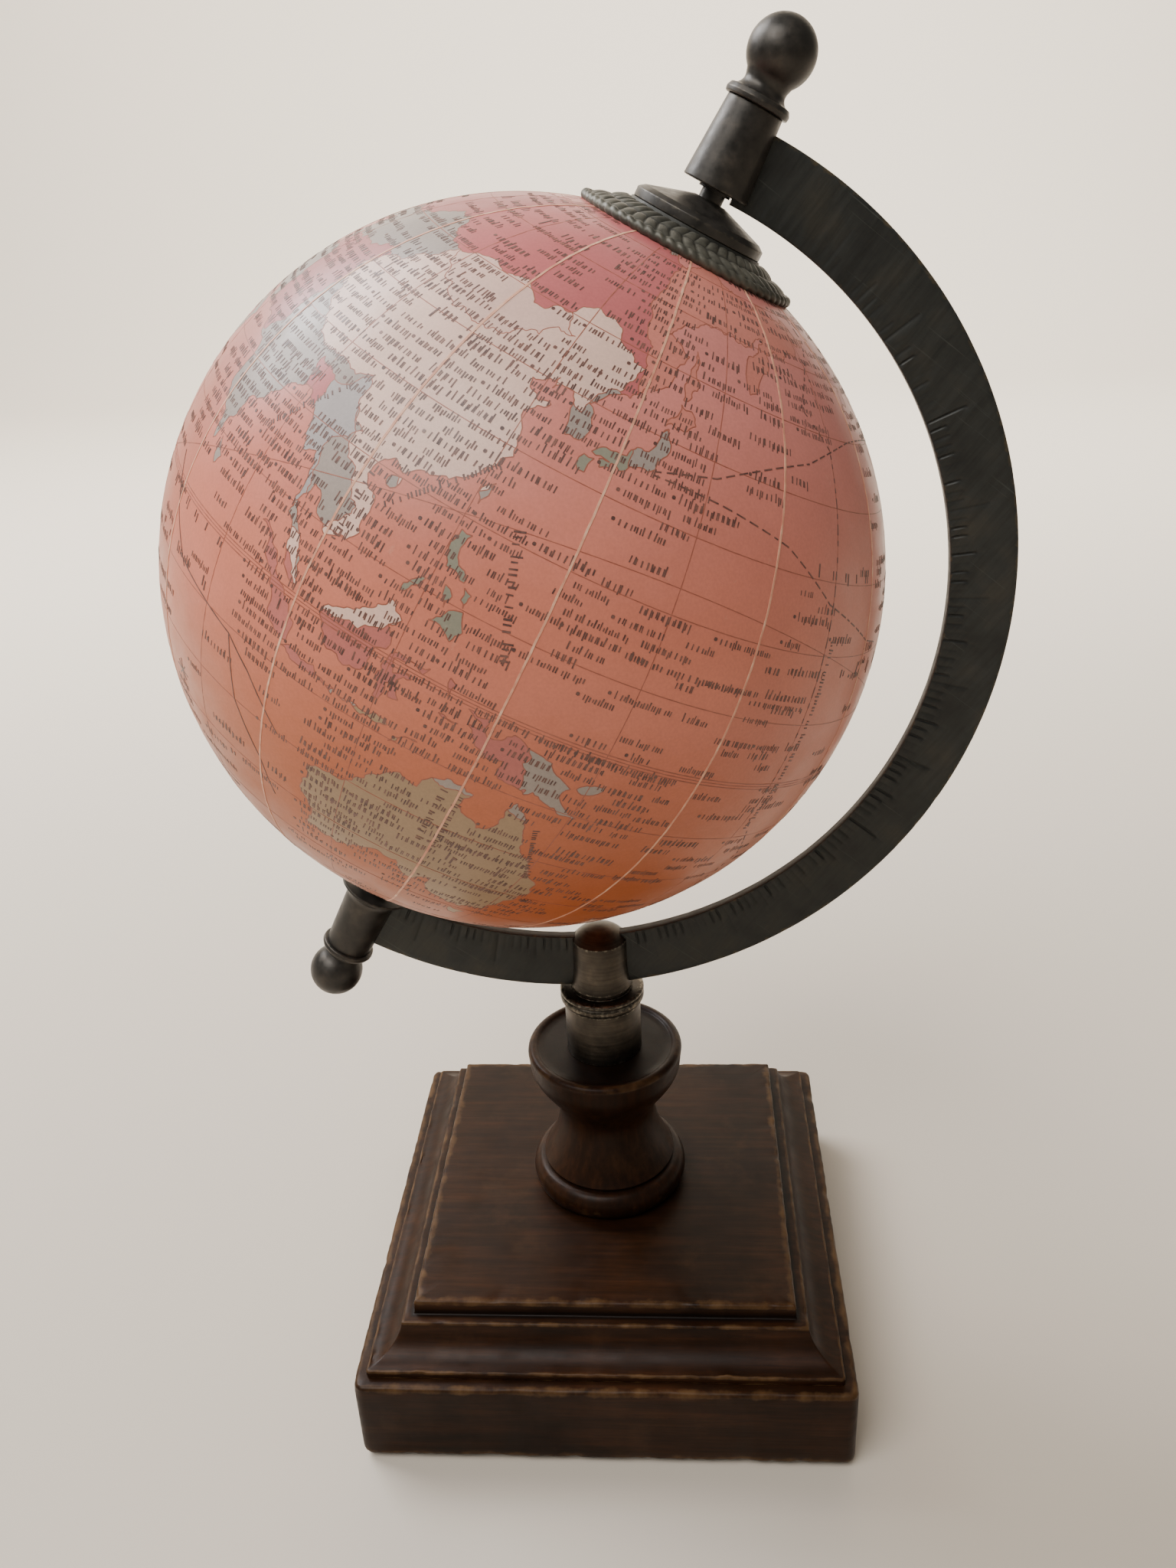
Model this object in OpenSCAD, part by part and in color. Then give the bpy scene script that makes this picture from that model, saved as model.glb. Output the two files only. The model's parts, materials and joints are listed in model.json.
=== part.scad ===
// Desktop globe on a turned wooden stand.
// The globe spins on a tilted axle rod held by a C-shaped meridian arc, and the
// arc swivels on the post. Origin: centre of the underside of the base, on the
// post's axis. +Z up, the arc lies in the XZ plane with its opening towards -X.

/* [Globe] */
// Diameter of the finished globe, over the paper map
globe_d = 127; // [110:1:160]
// Thickness of the paper map gores with their varnish
map_t = 0.3; // [0.2:0.05:0.5]
// Wall of the moulded hemispheres
shell_t = 1.8; // [1.2:0.1:3]
// Tilt of the globe's axis from the vertical, in degrees
tilt = 28.7; // [23:0.1:32]
// Number of paper gores round the globe
gore_count = 12; // [8:4:16]
// Width of the seam between two gores at the equator
seam_w = 0.15; // [0.1:0.05:0.4]
// Turn of the first seam from the arc's plane, in degrees
gore_turn = 2.5; // [0:0.5:30]
// Glue between the map and the hemispheres
glue_t = 0.02; // [0.01:0.01:0.05]
// Thickness of the joining band inside the equator
band_t = 1.2; // [0.8:0.1:2]
// Height of the joining band inside the equator
band_h = 14; // [8:1:24]

/* [Polar fittings] */
// Radius of the ornamental ring at the north pole
ring_r = 19; // [14:0.1:22]
// Thickness of the ornamental ring at its rim
ring_t = 1.7; // [1.2:0.1:2.5]
// Radius of the round bead on the ring's rim
ring_bead_r = 0.85; // [0.6:0.05:1]
// Radius of the opening in the ornamental ring
ring_hole_r = 8; // [6:0.5:9.5]
// Radius of the conical polar caps
cap_r = 11.3; // [10:0.1:13]
// Height of a polar cap's upright edge
cap_edge_h = 1.5; // [0.8:0.1:2.5]
// Radius of the small end of a polar cap
cap_tip_r = 2.7; // [2.5:0.1:3.2]
// Radius of the hub sleeves inside the poles
hub_r = 4.4; // [3.6:0.1:5.5]
// Length of each hub below the shell
hub_l = 12; // [8:1:20]
// Radius of the hub flange glued inside the shell
hub_flange_r = 8; // [6.5:0.5:10]
// Thickness of the hub flange
hub_flange_t = 2; // [1.5:0.5:3]

/* [Meridian arc] */
// Gap between the globe and the arc's inner edge, at the arc's own centre line
arc_gap = 8.66; // [7:0.1:12]
// Width of the flat arc, measured in its plane
arc_w = 11.7; // [9:0.1:14]
// Thickness of the arc
arc_t = 2.6; // [2:0.1:3.5]
// How far the arc's centre lies beside the globe's axis
arc_side = 5.05; // [4:0.05:6]
// How far the arc's centre lies below the globe's centre, along the axis
arc_drop = 2.08; // [1:0.05:3]
// How far the arc's centre is set back from the post's axis
arc_back = 6.72; // [4:0.05:9]

/* [Axle and finials] */
// Radius of the axle rod
axle_r = 2; // [1.5:0.1:2.2]
// Radius of a sleeve at the end towards the globe
sleeve_r = 5.7; // [5.2:0.1:6.5]
// Radius of a sleeve at the end towards its finial
sleeve_end_r = 4.7; // [4.3:0.1:5.5]
// Radius of the flared collar on the lower sleeve
flare_r = 7.2; // [6.5:0.1:8]
// Length of the flared collar on the lower sleeve
flare_h = 3.2; // [2:0.1:5]
// Radius of the finial balls
ball_r = 5.45; // [4.5:0.05:6]
// Radius of a finial's flange
flange_r = 5.35; // [4.9:0.05:6.5]
// Thickness of a finial's flange
flange_t = 1.5; // [1:0.1:2.5]
// Radius of a finial's neck at its waist
neck_r = 3.4; // [2.8:0.1:4]
// Length of the upper finial's neck, from flange to ball
top_neck_h = 2.3; // [2:0.1:5]
// Length of the lower finial's neck, from flange to ball
bottom_neck_h = 1.6; // [1.2:0.1:3]
// Thickness of the thrust washers
thrust_t = 0.4; // [0.3:0.05:0.8]
// Length of bare axle between the upper thrust washer and the north cap
bare_axle_h = 1.4; // [0.1:0.1:3]

/* [Post] */
// Radius of the arc holder
holder_r = 5.7; // [5:0.1:7]
// Radius of the arc holder's flared foot
holder_foot_r = 6.4; // [6:0.1:7.5]
// Height of the arc holder from its foot to the rim below its dome
holder_h = 11.2; // [9:0.1:13]
// Rise of the arc holder's dome above its rim
dome_h = 2.9; // [2:0.1:4]
// Radius of the swivel stem
stem_r = 3; // [2.5:0.1:3.4]
// Length of the swivel stem below the arc holder
stem_l = 17; // [14:0.5:20]
// Thickness of the swivel washer
swivel_washer_t = 0.4; // [0.3:0.1:1]
// Radius of the ferrule on top of the column
ferrule_r = 8; // [7.5:0.1:9]
// Height of the ferrule from the column to its washer face
ferrule_h = 15.5; // [13:0.1:20]
// Radius of the ferrule's spigot in the column
spigot_r = 4.9; // [4.5:0.1:5.5]
// Length of the ferrule's spigot in the column
spigot_l = 11.4; // [9:0.1:14]
// Radius of the round bead on the collar ring
bead_r = 1.2; // [0.8:0.05:1.4]
// Radius of the small lip above that bead
lip_r = 0.5; // [0.3:0.05:0.6]
// Greatest radius of the collar ring
collar_r = 8.85; // [8.4:0.05:10]

/* [Turned column] */
// Height of the column from the base panel to its rim
column_h = 35.9; // [32:0.1:50]
// Radius of the rounded foot
foot_r = 17; // [15.5:0.1:20]
// Height of the rounded foot
foot_h = 6.4; // [5:0.1:9]
// Radius of the vase just above the foot
vase_r = 14.5; // [13:0.1:16]
// Radius of the waist
waist_r = 10.5; // [9:0.1:12]
// Height of the waist above the base panel
waist_z = 19.3; // [16:0.1:22]
// Greatest radius of the dish at the top
dish_r = 16.6; // [15:0.1:20]
// Radius of the rounded edge of the dish
dish_edge_r = 1.2; // [0.8:0.1:1.6]
// Depth of the dish below its rim
dish_depth = 0.6; // [0.3:0.1:1.5]
// Radius of the tenon that enters the base
tenon_r = 7; // [5.5:0.5:9]
// Length of that tenon
tenon_l = 8; // [6:0.5:9]

/* [Base] */
// Width of the square plinth
base_w = 100.4; // [90:0.2:130]
// Height of the plinth above its felt
plinth_h = 19.6; // [14:0.2:26]
// Radius of the plinth's upright corners
corner_r = 2.2; // [1:0.1:5]
// Width of the ledge round the top of the plinth
ledge_w = 2.5; // [1.5:0.1:4]
// Height of the moulding's lower fillet
fillet_h = 1.8; // [1:0.1:3]
// Radius of the hollow cove in the moulding
cove_r = 6.7; // [5:0.1:8]
// Height of the cove
cove_h = 6.25; // [4.5:0.05:6.5]
// Width of the ledge round the raised panel
panel_ledge_w = 2.4; // [1.5:0.1:4]
// Height of the raised panel above the cove
panel_h = 3.3; // [2:0.1:5]
// Thickness of the felt
felt_t = 1; // [0.6:0.1:2]
// Distance of the felt's edge inside the plinth
felt_inset = 2.5; // [1:0.1:5]

/* [Fasteners] */
// Radius of the tie rod
tie_r = 2; // [1.5:0.1:2.5]
// Radius of the washer under the base
tie_washer_r = 7.5; // [6:0.5:10]
// Thickness of that washer
tie_washer_t = 1.2; // [0.8:0.1:2]
// Width of the tie nut across its flats
nut_af = 7; // [5.5:0.5:8]
// Height of the tie nut
nut_h = 3.2; // [2.4:0.1:4]
// Radius of the wood screws' shanks
wood_screw_r = 1.75; // [1.5:0.05:2.5]
// Distance of each wood screw from the centre, along X and Y
wood_screw_xy = 30; // [24:1:36]
// Radius of the small set screws
set_screw_r = 1.25; // [1:0.05:1.5]
// Running clearance on a radius, for a shaft that turns in a bore
run_gap = 0.05; // [0.02:0.01:0.1]
// Assembly clearance between fixed pieces
fit_gap = 0.05; // [0.02:0.01:0.1]
// Clearance between pieces that pass each other
free_gap = 0.3; // [0.2:0.05:0.5]

/* [Hidden] */
$fn = 96;
fine = 720;
eps = 0.01;
profile_steps = 14;

// Base and moulding heights
plinth_z = felt_t;
moulding_z = plinth_z + plinth_h;
cove_z = moulding_z + fillet_h;
panel_z = cove_z + cove_h + panel_h;
moulding_half = base_w / 2 - ledge_w;
cove_top_half = moulding_half - sqrt(cove_r * cove_r - pow(cove_r - cove_h, 2));
panel_half = cove_top_half - panel_ledge_w;

// Post heights
dish_z = panel_z + column_h;
ferrule_z = dish_z - dish_depth;
ferrule_top = ferrule_z + ferrule_h;
holder_z = ferrule_top + swivel_washer_t;
neck_top_r = ferrule_r - 1.6;
lip_z = ferrule_top - lip_r - 0.05;
collar_z = lip_z - lip_r - bead_r + 0.2;
stem_bottom = holder_z - stem_l;
stem_screw_z = ferrule_z + 4;
groove_r = stem_r - 0.8;
arc_screw_z = holder_z + 6.3;

// Globe and arc, worked out from the gap between them
globe_r = globe_d / 2;
shell_r = globe_r - map_t;
inner_r = shell_r - shell_t;
arc_in_r = globe_r + arc_gap;
arc_out_r = arc_in_r + arc_w;
arc_seat = holder_z + 0.45;
arc_x = -arc_back;
arc_z = arc_seat + sqrt(arc_out_r * arc_out_r - arc_back * arc_back);
globe_x = arc_x - arc_side * cos(tilt) + arc_drop * sin(tilt);
globe_z = arc_z + arc_side * sin(tilt) + arc_drop * cos(tilt);

// Places along the tilted axis, measured from the globe's centre
arc_in_h = sqrt(arc_in_r * arc_in_r - arc_side * arc_side);
arc_out_h = sqrt(arc_out_r * arc_out_r - arc_side * arc_side);
top_sleeve_h = arc_in_h - arc_drop + 1.1;
top_flange_h = arc_out_h - arc_drop + 2.4;
bottom_sleeve_h = arc_in_h + arc_drop - 0.7;
bottom_flange_h = arc_out_h + arc_drop + 3.2;
spin_play = 0.1;
north_tip_h = top_sleeve_h - thrust_t - bare_axle_h;
south_tip_h = bottom_sleeve_h - thrust_t - spin_play;
arc_end_s = axle_r + 0.8;
ball_sink = sqrt(ball_r * ball_r - neck_r * neck_r);
top_ball_h = top_flange_h + flange_t + top_neck_h + ball_sink;
bottom_ball_h = bottom_flange_h + flange_t + bottom_neck_h + ball_sink;
ring_seat_h = sqrt(globe_r * globe_r - ring_r * ring_r);
cap_seat_h = sqrt(globe_r * globe_r - ring_hole_r * ring_hole_r) + ring_t;
ring_land_r = cap_r + 0.5;
south_seat_h = sqrt(globe_r * globe_r - cap_r * cap_r) + fit_gap;

wood = [0.16, 0.09, 0.06];
bronze = [0.20, 0.18, 0.15];
patina = [0.16, 0.17, 0.15];
steel = [0.55, 0.55, 0.56];
salmon = [0.78, 0.47, 0.38];

// Puts its children in the globe's frame: centre of the globe, +Z along the axle
module on_axis() {
    translate([globe_x, 0, globe_z]) rotate([0, tilt, 0]) children();
}

// The same, turned over, so that +Z points out of the south pole
module on_south_axis() {
    on_axis() rotate([180, 0, 0]) children();
}

// A turned solid from an outline in the half plane x > 0
module turned() {
    rotate_extrude() intersection() {
        children();
        translate([0, -500]) square([500, 1000]);
    }
}

module tube(r_out, r_in, h) {
    difference() {
        cylinder(r = r_out, h = h);
        translate([0, 0, -1]) cylinder(r = r_in, h = h + 2);
    }
}

module rounded_slab(w, r, h) {
    for (a = [0, 90])
        rotate([0, 0, a]) translate([-w / 2 + r, -w / 2, 0]) cube([w - 2 * r, w, h]);
    for (sx = [-1, 1], sy = [-1, 1])
        translate([sx * (w / 2 - r), sy * (w / 2 - r), 0]) cylinder(r = r, h = h);
}

module screw_places() {
    for (sx = [-1, 1], sy = [-1, 1])
        translate([sx * wood_screw_xy, sy * wood_screw_xy, 0]) children();
}

// ---- Base ----

module felt_pad() {
    color([0.10, 0.16, 0.12]) rounded_slab(base_w - 2 * felt_inset, corner_r, felt_t);
}

recess_h = 8;
recess_r = tie_washer_r + 1;
screw_head_r = 2 * wood_screw_r;
screw_head_h = 2;
screw_deep = felt_t + 0.6;
screw_l = plinth_h + 6;

module base_plinth() {
    color(wood) difference() {
        translate([0, 0, plinth_z]) rounded_slab(base_w, corner_r, plinth_h);
        translate([0, 0, plinth_z - 1]) cylinder(r = recess_r, h = recess_h + 1);
        cylinder(r = tie_r + free_gap, h = moulding_z + 1);
        screw_places() {
            translate([0, 0, plinth_z - 1]) cylinder(r = wood_screw_r + fit_gap, h = plinth_h + 2);
            translate([0, 0, plinth_z - 1])
                cylinder(r = screw_head_r + fit_gap, h = screw_deep - plinth_z + 1);
            translate([0, 0, screw_deep - eps])
                cylinder(r1 = screw_head_r + fit_gap, r2 = wood_screw_r + fit_gap, h = screw_head_h);
        }
    }
}

// Half of the moulding's section: fillet, hollow cove, ledge and raised panel
module moulding_section() {
    difference() {
        union() {
            translate([-moulding_half, 0]) square([2 * moulding_half, fillet_h]);
            translate([-moulding_half, fillet_h - eps])
                square([2 * moulding_half, cove_h + eps]);
            translate([-panel_half, fillet_h + cove_h - eps])
                square([2 * panel_half, panel_h + eps]);
        }
        for (side = [-1, 1])
            translate([side * moulding_half, fillet_h + cove_r]) circle(r = cove_r);
    }
}

module moulding_bar() {
    translate([0, base_w / 2, 0]) rotate([90, 0, 0]) linear_extrude(base_w) moulding_section();
}

module base_moulding() {
    color(wood) translate([0, 0, moulding_z]) difference() {
        intersection() {
            moulding_bar();
            rotate([0, 0, 90]) moulding_bar();
        }
        translate([0, 0, -1]) cylinder(r = tie_r + free_gap, h = panel_z);
        translate([0, 0, panel_z - moulding_z - tenon_l - free_gap])
            cylinder(r = tenon_r + fit_gap, h = tenon_l + 1);
        screw_places() translate([0, 0, -1])
            cylinder(r = wood_screw_r + fit_gap, h = 1 + screw_l - plinth_h + screw_deep);
    }
}

module base_screws() {
    color(steel) screw_places() difference() {
        union() {
            translate([0, 0, screw_deep])
                cylinder(r1 = screw_head_r, r2 = wood_screw_r, h = screw_head_h);
            translate([0, 0, screw_deep + screw_head_h - eps])
                cylinder(r = wood_screw_r, h = screw_l - screw_head_h);
        }
        translate([-screw_head_r, -0.4, screw_deep - 1]) cube([2 * screw_head_r, 0.8, 2]);
    }
}

// ---- Turned column ----

// Radius of the hollow between vase and waist, t from 0 at the vase to 1 at the waist
function hollow_r(t) = waist_r + (vase_r - waist_r) * pow(1 - t, 1.8);
// Radius of the bowl under the dish, t from 0 at the waist to 1 at the dish
function bowl_r(t) = waist_r + (dish_r - 0.3 - waist_r) * t * t * (3 - 2 * t);
// Radius of the rounded foot at angle a, from -70 below to 70 above its middle
function foot_point(a) = [
    foot_r - foot_h * 0.42 * (1 - cos(a)),
    foot_h / 2 + foot_h / 2 * sin(a) / sin(70)
];

column_profile = [
    for (i = [0:profile_steps]) foot_point(-70 + 140 * i / profile_steps),
    [vase_r - 0.5, foot_h],
    [vase_r - 0.5, foot_h + 0.5],
    for (i = [0:profile_steps])
        [hollow_r(i / profile_steps),
         foot_h + 1 + (waist_z - foot_h - 1) * i / profile_steps],
    for (i = [1:profile_steps])
        [bowl_r(i / profile_steps),
         waist_z + (column_h - 4 - waist_z) * i / profile_steps],
    [dish_r, column_h - dish_edge_r]
];

module turned_column() {
    color(wood) translate([0, 0, panel_z]) difference() {
        union() {
            turned() {
                polygon(concat(
                    [[0, 0]],
                    column_profile,
                    [[dish_r - dish_edge_r, column_h],
                     [dish_r - 2 * dish_edge_r, column_h - dish_depth],
                     [0, column_h - dish_depth]]
                ));
                translate([dish_r - dish_edge_r, column_h - dish_edge_r]) circle(r = dish_edge_r);
            }
            translate([0, 0, -tenon_l]) cylinder(r = tenon_r, h = tenon_l + 1);
        }
        translate([0, 0, -tenon_l - 1]) cylinder(r = tie_r + free_gap, h = column_h + tenon_l + 2);
        translate([0, 0, ferrule_z - panel_z - spigot_l - free_gap])
            cylinder(r = spigot_r + fit_gap, h = spigot_l + 5);
    }
}

// ---- Tie rod with its washer and nut, under the felt ----

tie_washer_z = plinth_z + recess_h - tie_washer_t;
tie_nut_z = tie_washer_z - nut_h;
tie_top = ferrule_z - spigot_l + 6;

module tie_rod() {
    color(steel) translate([0, 0, tie_nut_z - 1]) cylinder(r = tie_r, h = tie_top - tie_nut_z + 1);
}

module tie_washer() {
    color(steel) translate([0, 0, tie_washer_z]) tube(tie_washer_r, tie_r + fit_gap, tie_washer_t);
}

module tie_nut() {
    color(steel) translate([0, 0, tie_nut_z]) difference() {
        cylinder(r = nut_af / 2 / cos(30), h = nut_h, $fn = 6);
        translate([0, 0, -1]) cylinder(r = tie_r + fit_gap, h = nut_h + 2);
    }
}

// ---- Ferrule, collar ring and the swivel ----

module ferrule() {
    shoulder_h = collar_z - ferrule_z - bead_r;
    color(bronze) difference() {
        translate([0, 0, ferrule_z]) {
            cylinder(r = ferrule_r, h = shoulder_h);
            cylinder(r = neck_top_r, h = ferrule_h);
            translate([0, 0, -spigot_l]) cylinder(r = spigot_r, h = spigot_l + 1);
        }
        translate([0, 0, stem_bottom - 1])
            cylinder(r = stem_r + run_gap, h = stem_l + 5);
        translate([0, 0, ferrule_z - spigot_l - 1])
            cylinder(r = tie_r + fit_gap, h = tie_top - ferrule_z + spigot_l + 1.5);
        translate([0, 0, stem_screw_z]) rotate([-90, 0, 0])
            cylinder(r = set_screw_r + fit_gap, h = ferrule_r + 1);
    }
}

module collar_ring() {
    color(bronze) turned() difference() {
        union() {
            translate([collar_r - bead_r, collar_z]) circle(r = bead_r);
            translate([collar_r - lip_r, lip_z]) circle(r = lip_r);
            translate([0, lip_z - lip_r + 0.1]) square([collar_r - lip_r, 2 * lip_r - 0.2]);
            translate([0, collar_z - bead_r])
                square([collar_r - bead_r, lip_z - collar_z + bead_r]);
        }
        translate([0, -1]) square([neck_top_r + fit_gap, ferrule_top + 5]);
    }
}

module stem_set_screw() {
    start = groove_r + 0.2;
    color(steel) translate([0, 0, stem_screw_z]) rotate([-90, 0, 0]) difference() {
        translate([0, 0, start]) cylinder(r = set_screw_r, h = ferrule_r - 0.3 - start);
        translate([-2 * set_screw_r, -0.25, ferrule_r - 1.1]) cube([4 * set_screw_r, 0.5, 2]);
    }
}

module swivel_washer() {
    color([0.35, 0.30, 0.24]) translate([0, 0, ferrule_top])
        tube(holder_foot_r - 0.4, stem_r + run_gap, swivel_washer_t);
}

// ---- Arc holder and arc ----

// The arc's ring, grown by a gap on every side
module arc_band(gap) {
    translate([arc_x, 0, arc_z]) rotate([90, 0, 0])
        translate([0, 0, -arc_t / 2 - gap])
            tube(arc_out_r + gap, arc_in_r - gap, arc_t + 2 * gap);
}

module arc_holder() {
    dome_r = (holder_r * holder_r + dome_h * dome_h) / (2 * dome_h);
    rim_z = holder_z + holder_h;
    color(bronze) difference() {
        union() {
            turned() {
                polygon([
                    [0, holder_z],
                    [holder_foot_r, holder_z],
                    [holder_foot_r, holder_z + 0.5],
                    [holder_r + 0.35, holder_z + 1.6],
                    [holder_r + 0.1, holder_z + 4],
                    [holder_r, holder_z + 7],
                    [holder_r, rim_z],
                    [0, rim_z]
                ]);
                intersection() {
                    translate([0, rim_z + dome_h - dome_r]) circle(r = dome_r);
                    translate([0, rim_z - 0.5]) square([holder_r - 0.25, dome_h + 1]);
                }
            }
            translate([0, 0, stem_bottom]) cylinder(r = stem_r, h = stem_l + 0.4);
        }
        arc_band(fit_gap);
        translate([0, 0, stem_screw_z - set_screw_r - free_gap])
            tube(stem_r + 1, groove_r, 2 * (set_screw_r + free_gap));
        translate([0, 0, arc_screw_z]) rotate([-90, 0, 0])
            cylinder(r = set_screw_r + fit_gap, h = holder_r + 1);
    }
}

module arc_set_screw() {
    start = arc_t / 2;
    color(steel) translate([0, 0, arc_screw_z]) rotate([-90, 0, 0]) difference() {
        translate([0, 0, start]) cylinder(r = set_screw_r, h = holder_r - 0.3 - start);
        translate([-2 * set_screw_r, -0.25, holder_r - 1.1]) cube([4 * set_screw_r, 0.5, 2]);
    }
}

// The arc runs from sleeve to sleeve, past the post, and is brazed into both
module meridian_arc() {
    color(patina) intersection() {
        arc_band(0);
        on_axis() translate([arc_end_s, -arc_t, -2 * arc_out_r])
            cube([2 * arc_out_r, 2 * arc_t, 4 * arc_out_r]);
    }
}

// Clears a slot for the arc's end in a sleeve
module arc_slot() {
    intersection() {
        arc_band(fit_gap);
        on_axis() translate([arc_end_s - fit_gap, -arc_t, -2 * arc_out_r])
            cube([2 * arc_out_r, 2 * arc_t, 4 * arc_out_r]);
    }
}

module top_sleeve() {
    color(bronze) difference() {
        on_axis() translate([0, 0, top_sleeve_h]) difference() {
            cylinder(r1 = sleeve_r, r2 = sleeve_end_r, h = top_flange_h - top_sleeve_h);
            translate([0, 0, -1]) cylinder(r = axle_r + fit_gap, h = 2 * arc_w);
        }
        arc_slot();
    }
}

module bottom_sleeve() {
    length = bottom_flange_h - bottom_sleeve_h;
    waist = (sleeve_r + sleeve_end_r) / 2;
    color(bronze) difference() {
        on_south_axis() translate([0, 0, bottom_sleeve_h]) difference() {
            turned() polygon([
                [0, 0],
                [flare_r, 0],
                [flare_r, 0.5],
                for (i = [1:profile_steps]) let (t = i / profile_steps)
                    [waist + (flare_r - waist) * pow(1 - t, 2), 0.5 + (flare_h - 0.5) * t],
                [sleeve_end_r, length],
                [0, length]
            ]);
            translate([0, 0, -1]) cylinder(r = axle_r + fit_gap, h = length + 2);
        }
        arc_slot();
    }
}

// ---- Axle rod, finials and thrust washers ----

module axle_rod() {
    color(steel) on_axis() translate([0, 0, -bottom_ball_h])
        cylinder(r = axle_r, h = bottom_ball_h + top_ball_h);
}

// A finial: flange, hollow neck and ball, screwed on the end of the axle rod
module finial(flange_h, neck_h, ball_h) {
    neck_start = flange_h + flange_t;
    difference() {
        turned() {
            polygon([
                [0, flange_h],
                [flange_r, flange_h],
                [flange_r + 0.1, flange_h + flange_t / 2],
                [flange_r - 0.3, neck_start],
                for (i = [1:profile_steps]) let (t = i / profile_steps)
                    [neck_r + (flange_r - 0.8 - neck_r) * pow(1 - t, 3)
                        + 0.35 * pow(t, 3), neck_start + neck_h * t],
                [neck_r, ball_h],
                [0, ball_h]
            ]);
            translate([0, ball_h]) circle(r = ball_r);
        }
        translate([0, 0, flange_h - 1]) cylinder(r = axle_r + fit_gap, h = ball_h - flange_h + 1.5);
    }
}

module top_finial() {
    color(bronze) on_axis() finial(top_flange_h, top_neck_h, top_ball_h);
}

module bottom_finial() {
    color(bronze) on_south_axis() finial(bottom_flange_h, bottom_neck_h, bottom_ball_h);
}

module top_thrust_washer() {
    color(steel) on_axis() translate([0, 0, top_sleeve_h - thrust_t])
        tube(cap_tip_r, axle_r + fit_gap, thrust_t);
}

module bottom_thrust_washer() {
    color(steel) on_south_axis() translate([0, 0, bottom_sleeve_h - thrust_t])
        tube(cap_tip_r + 1, axle_r + fit_gap, thrust_t);
}

// ---- Globe ----

// Section of one moulded hemisphere, from the equator to its pole hole
module hemisphere() {
    color([0.80, 0.74, 0.62]) turned() difference() {
        circle(r = shell_r, $fn = fine);
        circle(r = inner_r, $fn = fine);
        translate([-globe_d, -globe_d]) square([2 * globe_d, globe_d]);
        translate([-1, 0]) square([hub_r + fit_gap + 1, globe_d]);
    }
}

module north_hemisphere() {
    on_axis() hemisphere();
}

module south_hemisphere() {
    on_south_axis() hemisphere();
}

module equator_band() {
    edge_r = sqrt(inner_r * inner_r - band_h * band_h / 4) - fit_gap;
    color([0.70, 0.62, 0.48]) on_axis() translate([0, 0, -band_h / 2])
        tube(edge_r, edge_r - band_t, band_h);
}

// Paper gores: thin spherical strips from pole to pole, a hair apart
module map_gores() {
    seam_angle = seam_w / globe_r * 180 / PI;
    pitch = 360 / gore_count;
    color(salmon) on_axis() for (i = [0:gore_count - 1])
        rotate([0, 0, i * pitch + gore_turn + seam_angle / 2])
            rotate_extrude(angle = pitch - seam_angle) difference() {
                circle(r = globe_r, $fn = fine);
                circle(r = shell_r + glue_t, $fn = fine);
                translate([-globe_d, -globe_d]) square([globe_d + hub_r + 1, 2 * globe_d]);
            }
}

// A hub glued inside a pole: the axle rod runs in it
module hub() {
    flange_top = sqrt(inner_r * inner_r - hub_flange_r * hub_flange_r) - 0.2;
    color([0.62, 0.50, 0.34]) difference() {
        union() {
            translate([0, 0, flange_top - hub_l]) cylinder(r = hub_r, h = globe_r + 0.2 - flange_top + hub_l);
            translate([0, 0, flange_top - hub_flange_t]) cylinder(r = hub_flange_r, h = hub_flange_t);
        }
        translate([0, 0, flange_top - hub_l - 1]) cylinder(r = axle_r + run_gap, h = globe_r);
    }
}

module north_hub() {
    on_axis() hub();
}

module south_hub() {
    on_south_axis() hub();
}

// Ornamental ring: its underside follows the globe, its rim carries a round bead,
// and its flat land carries the north cap
module polar_ring() {
    color(patina) on_axis() turned() difference() {
        union() {
            polygon([
                [ring_hole_r, 0],
                [ring_r - ring_bead_r, 0],
                [ring_r - ring_bead_r, ring_seat_h + ring_t],
                [ring_land_r, cap_seat_h],
                [ring_hole_r, cap_seat_h]
            ]);
            translate([ring_r - ring_bead_r, ring_seat_h + ring_bead_r]) circle(r = ring_bead_r);
        }
        circle(r = globe_r + fit_gap, $fn = fine);
    }
}

// A polar cap: an upright edge and a cone, bored for the axle rod
module polar_cap(seat_h, tip_h) {
    color(bronze) difference() {
        turned() difference() {
            polygon([
                [0, seat_h],
                [cap_r, seat_h],
                [cap_r, seat_h + cap_edge_h],
                [cap_r - 1, seat_h + cap_edge_h + 0.7],
                [cap_tip_r, tip_h],
                [0, tip_h]
            ]);
            circle(r = globe_r + fit_gap, $fn = fine);
        }
        translate([0, 0, globe_r - 5]) cylinder(r = hub_r + free_gap, h = 5.5);
        cylinder(r = axle_r + free_gap, h = tip_h + 1);
    }
}

module north_cap() {
    on_axis() polar_cap(cap_seat_h, north_tip_h);
}

module south_cap() {
    on_south_axis() polar_cap(south_seat_h, south_tip_h);
}

felt_pad();
base_plinth();
base_moulding();
base_screws();
turned_column();
tie_rod();
tie_washer();
tie_nut();
ferrule();
collar_ring();
stem_set_screw();
swivel_washer();
arc_holder();
meridian_arc();
arc_set_screw();
top_sleeve();
bottom_sleeve();
axle_rod();
top_finial();
bottom_finial();
top_thrust_washer();
bottom_thrust_washer();
north_hemisphere();
south_hemisphere();
equator_band();
map_gores();
north_hub();
south_hub();
polar_ring();
north_cap();
south_cap();
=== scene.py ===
"""Looks of the desktop globe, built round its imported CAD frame.

Lengths are in millimetres until a piece is made. Map places are (longitude, latitude).
"""

import json
import math
import random

import bmesh
import bpy
import numpy as np
from mathutils import Matrix, Vector, noise
from mathutils.geometry import delaunay_2d_cdt


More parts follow.
